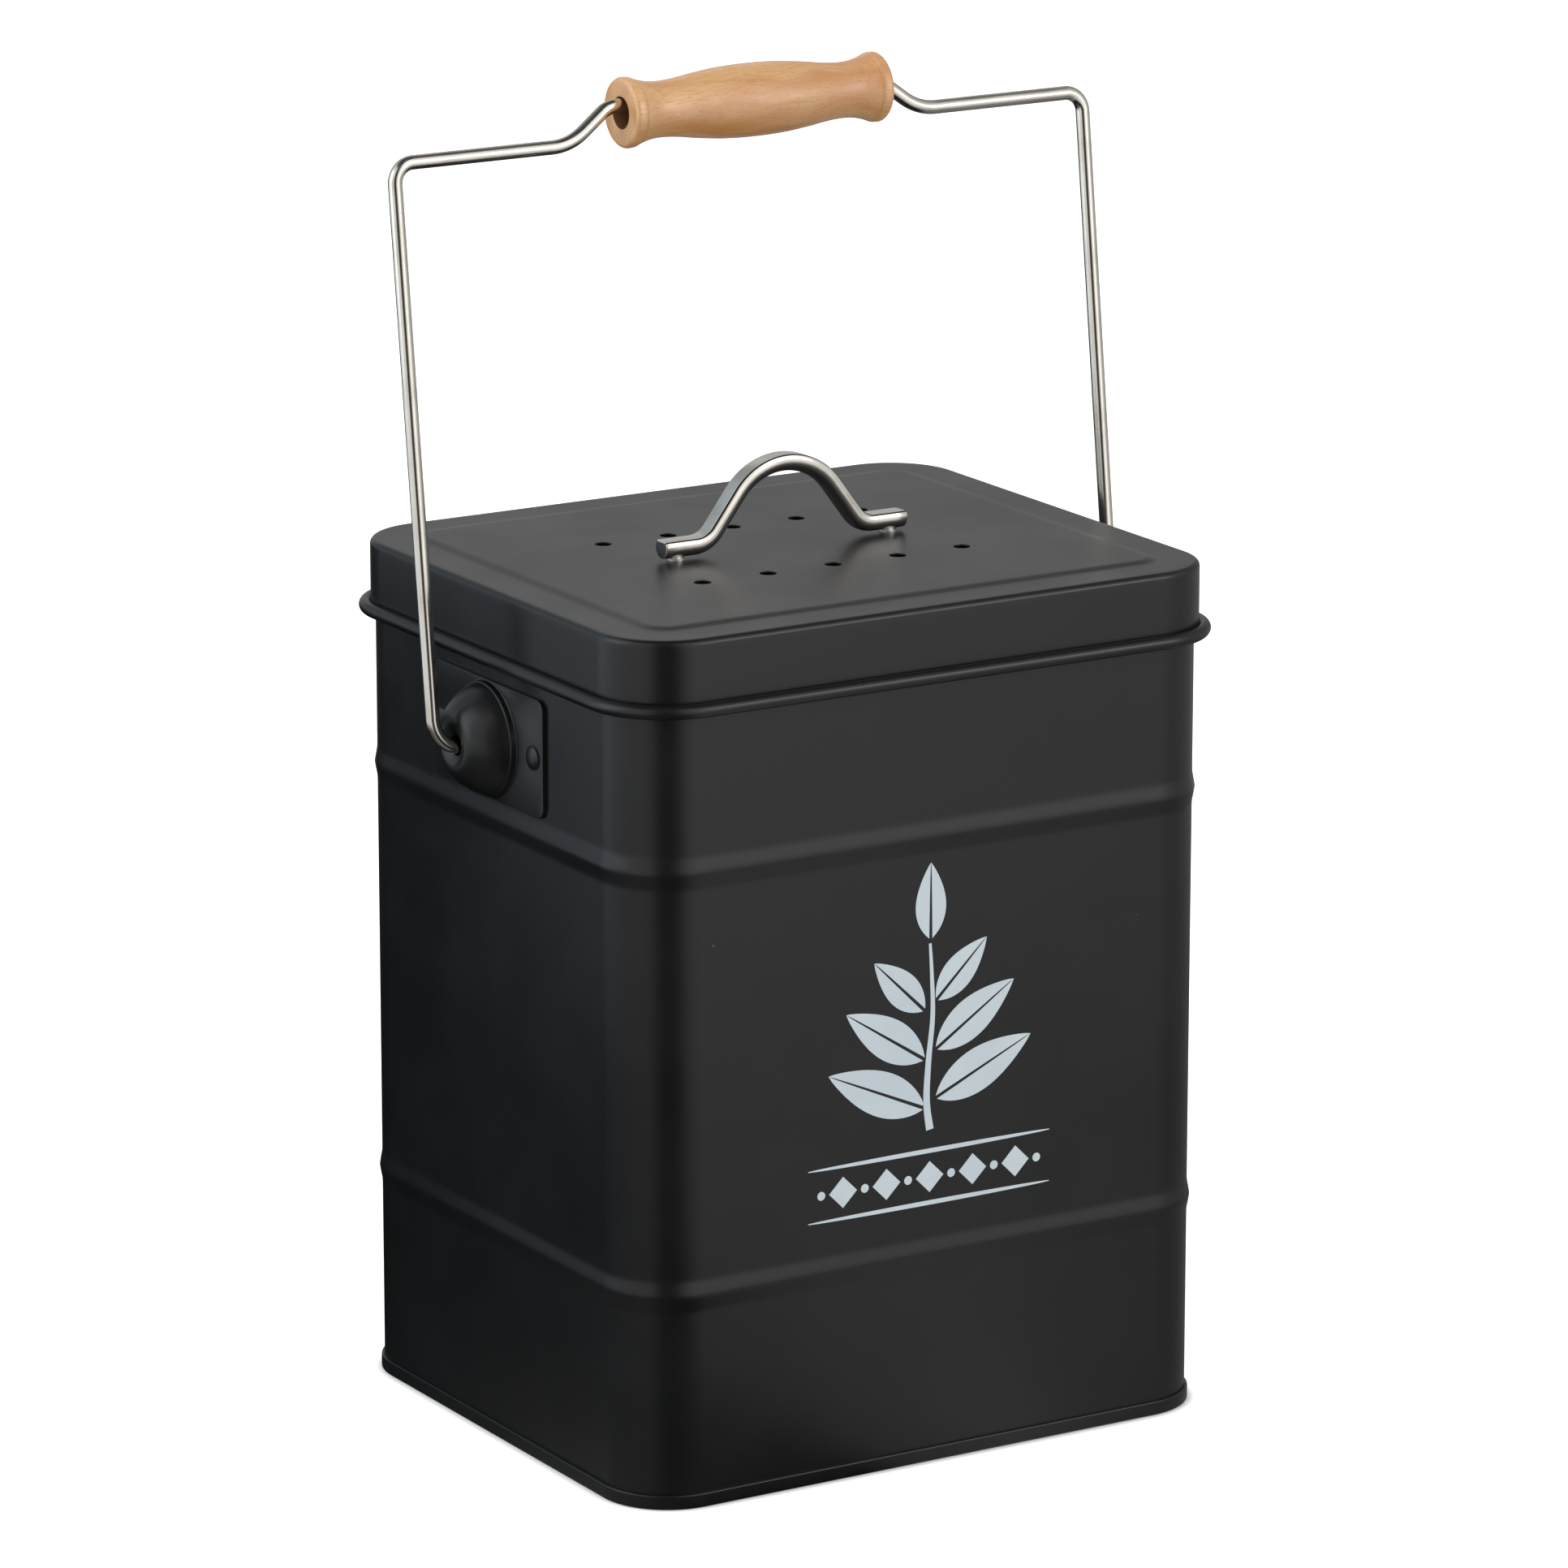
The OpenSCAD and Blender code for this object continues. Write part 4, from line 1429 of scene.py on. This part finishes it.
@dataclass
class FrontPrint:
    """A plain leafy sprig over a border of lozenges, printed on the front wall.

    A leaf pair is its height on the stem, its length, its width and its tilt.
    """

    sizes: CaddySizes
    finishes: Finishes
    middle_x: float = -1.5
    ink: float = 0.06
    wall_gap: float = 0.01
    stem: tuple[Point, ...] = ((0, 103), (-1.2, 112), (-0.6, 124), (0.8, 138), (0.4, 151), (-0.2, 160))
    stem_widths: tuple[float, float] = (2.6, 0.9)
    leaf_pairs: tuple[tuple[float, ...], ...] = (
        (110, 36, 13.5, 24), (125, 32, 12.5, 33), (140, 24, 10.5, 44))
    right_lift: float = 2.6
    leaf_root_x: float = 2.2
    tip_leaf: tuple[float, ...] = (161.5, 23, 10.5)
    vein: float = 0.55
    line_heights: tuple[float, float] = (96.5, 80.5)
    line_half: float = 42.0
    line_widths: tuple[float, float] = (0.25, 1.15)
    row_z: float = 88.5
    row_pitch: float = 15.0
    lozenge_half: float = 4.8
    dot_r: float = 1.35

    def leaf(self, root: Point, heading: float, length: float, width: float) -> list[list[Point]]:
        """Returns a pointed leaf as two halves with a bare vein between them.

        Args:
            root: Where the leaf starts.
            heading: Its direction in degrees.
            length: Its length.
            width: Its largest width.

        Returns:
            The halves' outlines.
        """
        angle = math.radians(heading)
        along = Vector((math.cos(angle), math.sin(angle))) * length
        side = Vector((-math.sin(angle), math.cos(angle)))
        start = Vector(root)
        shares = [i / 20 for i in range(21)]
        halves = []
        for out in (side, -side):
            bulge = [width / 2 * math.sin(math.pi * t**0.8) ** 0.85 for t in shares]
            outer = [start + along * t + out * max(b, self.vein * (1 - t)) for t, b in zip(shares, bulge)]
            inner = [start + along * t + out * self.vein * (1 - t) ** 0.5 for t in reversed(shares[1:-1])]
            halves.append([tuple(p) for p in [*outer, *inner]])
        return halves

    @staticmethod
    def ribbon(line: Sequence[Point], widths: Sequence[float]) -> list[Point]:
        """Returns the outline of a line with a width at each of its points.

        Args:
            line: The line's points.
            widths: The widths.

        Returns:
            The outline.
        """
        sides: tuple[list[Point], list[Point]] = ([], [])
        for i, (x, y) in enumerate(line):
            ax, ay = line[max(i - 1, 0)]
            bx, by = line[min(i + 1, len(line) - 1)]
            length = math.hypot(bx - ax, by - ay)
            nx, ny = -(by - ay) / length, (bx - ax) / length
            for sign, rim in zip((1, -1), sides):
                rim.append((x + sign * nx * widths[i] / 2, y + sign * ny * widths[i] / 2))
        return [*sides[0], *reversed(sides[1])]

    def sprig(self) -> list[list[Point]]:
        """Returns the stem and its leaves, which get smaller towards the tip."""
        stem = smooth_line(self.stem, 6)
        foot_w, tip_w = self.stem_widths
        shapes = [self.ribbon(stem, [foot_w + (tip_w - foot_w) * i / (len(stem) - 1)
                                     for i in range(len(stem))])]
        for height, length, width, tilt in self.leaf_pairs:
            for side, lift, heading in ((-1, 0.0, 180 - tilt), (1, self.right_lift, tilt)):
                shapes += self.leaf((side * self.leaf_root_x, height + lift), heading, length, width)
        height, length, width = self.tip_leaf
        return [*shapes, *self.leaf((0.0, height), 90, length, width)]

    def border(self) -> list[list[Point]]:
        """Returns the two tapered lines and the row of lozenges and dots between them."""
        half, pitch, z, size = self.line_half, self.row_pitch, self.row_z, self.lozenge_half
        shares = [i / 24 for i in range(25)]
        thin, swell = self.line_widths
        widths = [thin + swell * math.sin(math.pi * t) ** 0.6 for t in shares]
        shapes = [self.ribbon([(-half + 2 * half * t, line_z) for t in shares], widths)
                  for line_z in self.line_heights]
        shapes += [[(x - size, z), (x, z + size), (x + size, z), (x, z - size)]
                   for x in (i * pitch for i in range(-2, 3))]
        shapes += [arc(((i + 0.5) * pitch, z), self.dot_r, 0, 360, 20)[:-1] for i in range(-3, 3)]
        return shapes

    def build(self) -> list[bpy.types.Object]:
        """Builds the print and returns it."""
        maker = MeshMaker("leaf_print")
        back = -self.sizes.wall_y - self.wall_gap
        for outline in [*self.sprig(), *self.border()]:
            layers = [maker.ring([Vector((self.middle_x + x, y, z)) for x, z in outline])
                      for y in (back, back - self.ink)]
            maker.bridge(*layers)
            for layer in layers:
                maker.cap(layer)
        return [dress(maker.piece(crease=30), Body.CADDY, Slot.ENAMEL, [], self.finishes.ink)]


@dataclass
class SmallSteel:
    """The screws, washers, collars and filter clips, which keep their own shapes."""

    finishes: Finishes

    def build(self) -> list[bpy.types.Object]:
        """Gives each of them its plated finish and returns them."""
        names = [f"{piece}_{side}" for piece in ("handle_spacer", "handle_screw", "screw_washer")
                 for side in ("left", "right")]
        names += [f"{end}_{side}_clip" for end in ("front", "back") for side in ("left", "right")]
        nodes = [frame["nodes"][name] for name in names]
        for node in nodes:
            node.data.materials.clear()
            node.data.materials.append(self.finishes.zinc)
        return nodes


# --------------------------------------------------------------------------------------------------
# Studio
# --------------------------------------------------------------------------------------------------


@dataclass(frozen=True)
class SoftBox:
    """One rectangular lamp that faces a point."""

    name: str
    place: Triple
    size: tuple[float, float]
    power: float
    colour: Rgb = (1.0, 1.0, 1.0)
    mirrored: bool = True
    target: Triple = (0.0, 0.0, 0.15)

    def make(self) -> None:
        """Adds the lamp."""
        lamp = bpy.data.lights.new(self.name, "AREA")
        lamp.shape = "RECTANGLE"
        lamp.size, lamp.size_y = self.size
        lamp.energy = self.power
        lamp.color = self.colour
        obj = linked(self.name, lamp)
        obj.location = self.place
        aim = Vector(self.target) - Vector(self.place)
        obj.rotation_euler = aim.to_track_quat("-Z", "Y").to_euler()
        obj.visible_camera = False
        obj.visible_glossy = self.mirrored


@dataclass(frozen=True)
class DarkCard:
    """An upright black card that only reflections see."""

    name: str
    x: float
    y_reach: tuple[float, float]
    height: float
    lift: float = 0.001

    def make(self) -> None:
        """Adds the card."""
        near, far = self.y_reach
        corners = [(self.x, near, self.lift), (self.x, far, self.lift), (self.x, far, self.height),
                   (self.x, near, self.height)]
        obj = linked(self.name, bare_mesh(self.name, corners, faces=[(0, 1, 2, 3)]))
        material, bench, _ = new_material(self.name)
        bench.end(bench.put("ShaderNodeEmission", {"Color": (0, 0, 0, 1), "Strength": 0.0}))
        obj.data.materials.append(material)
        obj.visible_camera = obj.visible_diffuse = obj.visible_shadow = False


@dataclass(frozen=True)
class Panel:
    """How the room glows in one direction: degrees from the camera's side, to the right."""

    angle: float
    wall: float
    far_floor: float
    near_floor: float
    cool_share: float = 0.0


@dataclass
class Studio:
    """A white sweep, soft lamps and the camera."""

    image_px: float = 1932.0
    focal_px: float = 10148.12
    sensor_mm: float = 36.0
    yaw: float = 31.28172
    pitch: float = 14.67377
    roll: float = 0.02281
    camera_at: Triple = (-1.24386, -2.04821, 0.8162)
    view_reach: tuple[float, float] = (0.05, 50.0)
    panels: tuple[Panel, ...] = (
        Panel(-180, 0.51, 0.60, 0.15), Panel(-163, 0.56, 0.50, 0.10, 0.2),
        Panel(-150, 0.44, 0.03, 0.02, 0.6), Panel(-122, 0.50, 0.04, 0.00, 1.0),
        Panel(-110, 0.92, 0.90, 0.00, 1.0), Panel(-102, 1.22, 1.35, 0.01, 1.0),
        Panel(-92, 0.92, 0.92, 0.03, 0.4), Panel(-60, 0.80, 0.82, 0.08), Panel(-22, 0.92, 0.92, 0.20),
        Panel(-12, 0.03, 0.03, 0.01), Panel(17, 0.03, 0.03, 0.01), Panel(27, 0.90, 0.85, 0.35),
        Panel(50, 1.55, 1.22, 0.58), Panel(80, 0.74, 0.49, 0.24), Panel(130, 0.33, 0.38, 0.20),
        Panel(160, 0.27, 0.36, 0.15), Panel(180, 0.51, 0.60, 0.15))
    cool: Rgb = (0.76, 0.89, 1.0)
    near_reach: tuple[float, float] = (0.45, 1.05)
    ceiling: tuple[float, float] = (0.80, 0.86)
    overhead_glow: float = 0.10
    ambient: float = 0.75
    floor_reach: float = 12.0
    paper: Rgb = (0.85, 0.85, 0.85)
    floor_lift: float = 0.72
    # Reach, range and share of the painted contact shadow on the floor.
    painted_shadow_reach: float = 0.005
    painted_shadow_range: tuple[float, float] = (0.50, 0.97)
    painted_shadow_share: float = 0.1

    def camera(self) -> None:
        """Adds the camera."""
        yaw, pitch, roll = (math.radians(a) for a in (self.yaw, self.pitch, self.roll))
        ahead = Vector((math.sin(yaw) * math.cos(pitch), math.cos(yaw) * math.cos(pitch), -math.sin(pitch)))
        right = Vector((math.cos(yaw), -math.sin(yaw), 0))
        up = right.cross(ahead)
        tilted_right = right * math.cos(roll) + up * math.sin(roll)
        tilted_up = up * math.cos(roll) - right * math.sin(roll)
        lens = bpy.data.cameras.new("camera")
        lens.sensor_width = self.sensor_mm
        lens.lens = self.focal_px / self.image_px * self.sensor_mm
        lens.clip_start, lens.clip_end = self.view_reach
        turn = Matrix((tilted_right, tilted_up, -ahead)).transposed().to_4x4()
        obj = linked("camera", lens)
        obj.matrix_world = Matrix.Translation(self.camera_at) @ turn
        bpy.context.scene.camera = obj

    def glow_group(self) -> bpy.types.NodeTree:
        """Returns how the walls and the floor glow in a direction, for reflections."""
        tree = group_tree(
            "studio_glow", "ShaderNodeTree", {"Direction": "NodeSocketVector"},
            {"Wall": "NodeSocketColor", "Far Floor": "NodeSocketColor", "Near Floor": "NodeSocketColor"})
        bench = NodeBench(tree)
        source = bench.put("NodeGroupInput").outputs["Direction"]
        sin, cos = math.sin(math.radians(self.yaw)), math.cos(math.radians(self.yaw))
        front, right = (-sin, -cos, 0.0), (cos, -sin, 0.0)
        parts = [bench.put("ShaderNodeVectorMath", {0: source, 1: axis},
                           operation="DOT_PRODUCT").outputs["Value"] for axis in (right, front)]
        turn = bench.math("DIVIDE", bench.math("ARCTAN2", *parts), 2 * math.pi)
        share = bench.math("ADD", turn, 0.5)
        rings = []
        for levels in zip(*((p.wall, p.far_floor, p.near_floor) for p in self.panels)):
            ring = bench.put("ShaderNodeValToRGB", {0: share})
            stops = ring.color_ramp.elements
            while len(stops) < len(self.panels):
                stops.new(0.5)
            for stop, panel, level in zip(stops, self.panels, levels):
                stop.position = panel.angle / 360 + 0.5
                white = 1 - panel.cool_share
                stop.color = opaque([level * (white + panel.cool_share * c) for c in self.cool])
            rings.append(ring.outputs[0])
        bench.put("NodeGroupOutput", {"Wall": rings[0], "Far Floor": rings[1], "Near Floor": rings[2]})
        return tree

    @staticmethod
    def by_ray(bench: NodeBench, path: bpy.types.Node, plain: bpy.types.Node,
               mirrored: bpy.types.Node) -> bpy.types.Node:
        """Returns a shader that looks mirrored in reflections and plain otherwise.

        Args:
            bench: The bench that it is made on.
            path: The ray's own node.
            plain: What the eye and the light see.
            mirrored: What reflections see.

        Returns:
            The shader.
        """
        return bench.put("ShaderNodeMixShader", {
            0: path.outputs["Is Glossy Ray"], 1: plain.outputs[0], 2: mirrored.outputs[0]})

    def world(self, glow: bpy.types.NodeTree) -> None:
        """Makes the world: white to the eye, panels in reflections and an even light otherwise.

        Args:
            glow: The panels' group.
        """
        world = bpy.data.worlds.new("studio")
        bpy.context.scene.world = world
        world.use_nodes = True
        bench = NodeBench(world.node_tree)
        direction = bench.put("ShaderNodeTexCoord").outputs["Generated"]
        panels = bench.group(glow, {"Direction": direction})
        height = bench.put("ShaderNodeSeparateXYZ", {0: direction}).outputs["Z"]
        above = bench.ramp(height, *self.ceiling, 1.0, self.overhead_glow)
        mirrored = bench.put("ShaderNodeBackground", {"Color": panels.outputs["Wall"], "Strength": above})
        path = bench.put("ShaderNodeLightPath")
        level = bench.math("MAXIMUM", path.outputs["Is Camera Ray"], self.ambient)
        plain = bench.put("ShaderNodeBackground", {"Color": (1, 1, 1, 1), "Strength": level})
        bench.end(self.by_ray(bench, path, plain, mirrored), "ShaderNodeOutputWorld")

    def floor(self, glow: bpy.types.NodeTree) -> None:
        """Adds the white floor: it keeps the object's shadow, with a painted contact shadow where occlusion
        dims its glow, and is darker near it in reflections.

        Args:
            glow: The panels' group.
        """
        reach = self.floor_reach
        corners = [(-reach, -reach, 0), (reach, -reach, 0), (reach, reach, 0), (-reach, reach, 0)]
        obj = linked("studio_floor", bare_mesh("studio_floor", corners, faces=[(0, 1, 2, 3)]))
        material, bench, place = new_material("studio_floor")
        panels = bench.group(glow, {"Direction": place})
        distance = bench.put("ShaderNodeVectorMath", {0: place}, operation="LENGTH").outputs["Value"]
        reflected = bench.blend(bench.ramp(distance, *self.near_reach), panels.outputs["Near Floor"],
                                panels.outputs["Far Floor"])
        mirrored = bench.put("ShaderNodeEmission", {"Color": reflected})
        path = bench.put("ShaderNodeLightPath")
        paper = bench.put("ShaderNodeBsdfDiffuse", {"Color": opaque(self.paper)})
        # Painted contact shadow: occlusion near the object dims the floor's glow to the eye.
        painted_shadow_occlusion = bench.put("ShaderNodeAmbientOcclusion", {"Distance": self.painted_shadow_reach}, samples=16)
        lift = bench.ramp(painted_shadow_occlusion.outputs["AO"], *self.painted_shadow_range, self.painted_shadow_share * self.floor_lift,
                          self.floor_lift)
        lit = bench.put("ShaderNodeEmission", {
            "Strength": bench.math("MULTIPLY", path.outputs["Is Camera Ray"], lift)})
        plain = bench.put("ShaderNodeAddShader", {0: paper.outputs[0], 1: lit.outputs[0]})
        bench.end(self.by_ray(bench, path, plain, mirrored))
        obj.data.materials.append(material)

    def build(self) -> None:
        """Builds the studio."""
        bpy.context.scene.view_settings.view_transform = "Standard"
        glow = self.glow_group()
        self.world(glow)
        self.floor(glow)
        for prop in (
                SoftBox("overhead", (-0.45, 0.1, 1.9), (1.6, 1.6), 10.5, mirrored=False),
                SoftBox("left_near", (-0.80, 0.20, 0.55), (0.5, 0.7), 1.3, (0.82, 0.92, 1.0)),
                SoftBox("right_front", (0.95, -1.50, 0.85), (0.45, 0.7), 4.0),
                DarkCard("left_card", -0.24, (0.18, 0.75), 0.195)):
            prop.make()
        self.camera()


def main() -> None:
    """Builds the caddy and its studio."""
    logging.basicConfig(level=logging.INFO, format="%(name)s: %(message)s")
    Studio().build()
    sizes = CaddySizes.from_frame()
    grip_axis = next(Vector(j["pos_m"]) for j in frame["joints"] if j["name"] == "grip_spin")
    finishes = Finishes(grip_axis)
    growths = Growths()
    assemblies = [
        Bucket(sizes, finishes), Ears(sizes, finishes, growths), Lid(sizes, finishes), LidHandle(finishes),
        Bail(finishes, growths), FrontPrint(sizes, finishes), SmallSteel(finishes)]
    for assembly in assemblies:
        for piece in assembly.build():
            LOG.info("%s: %s, %d faces", type(assembly).__name__, piece.name, len(piece.data.polygons))


if __name__ == "__main__":
    main()
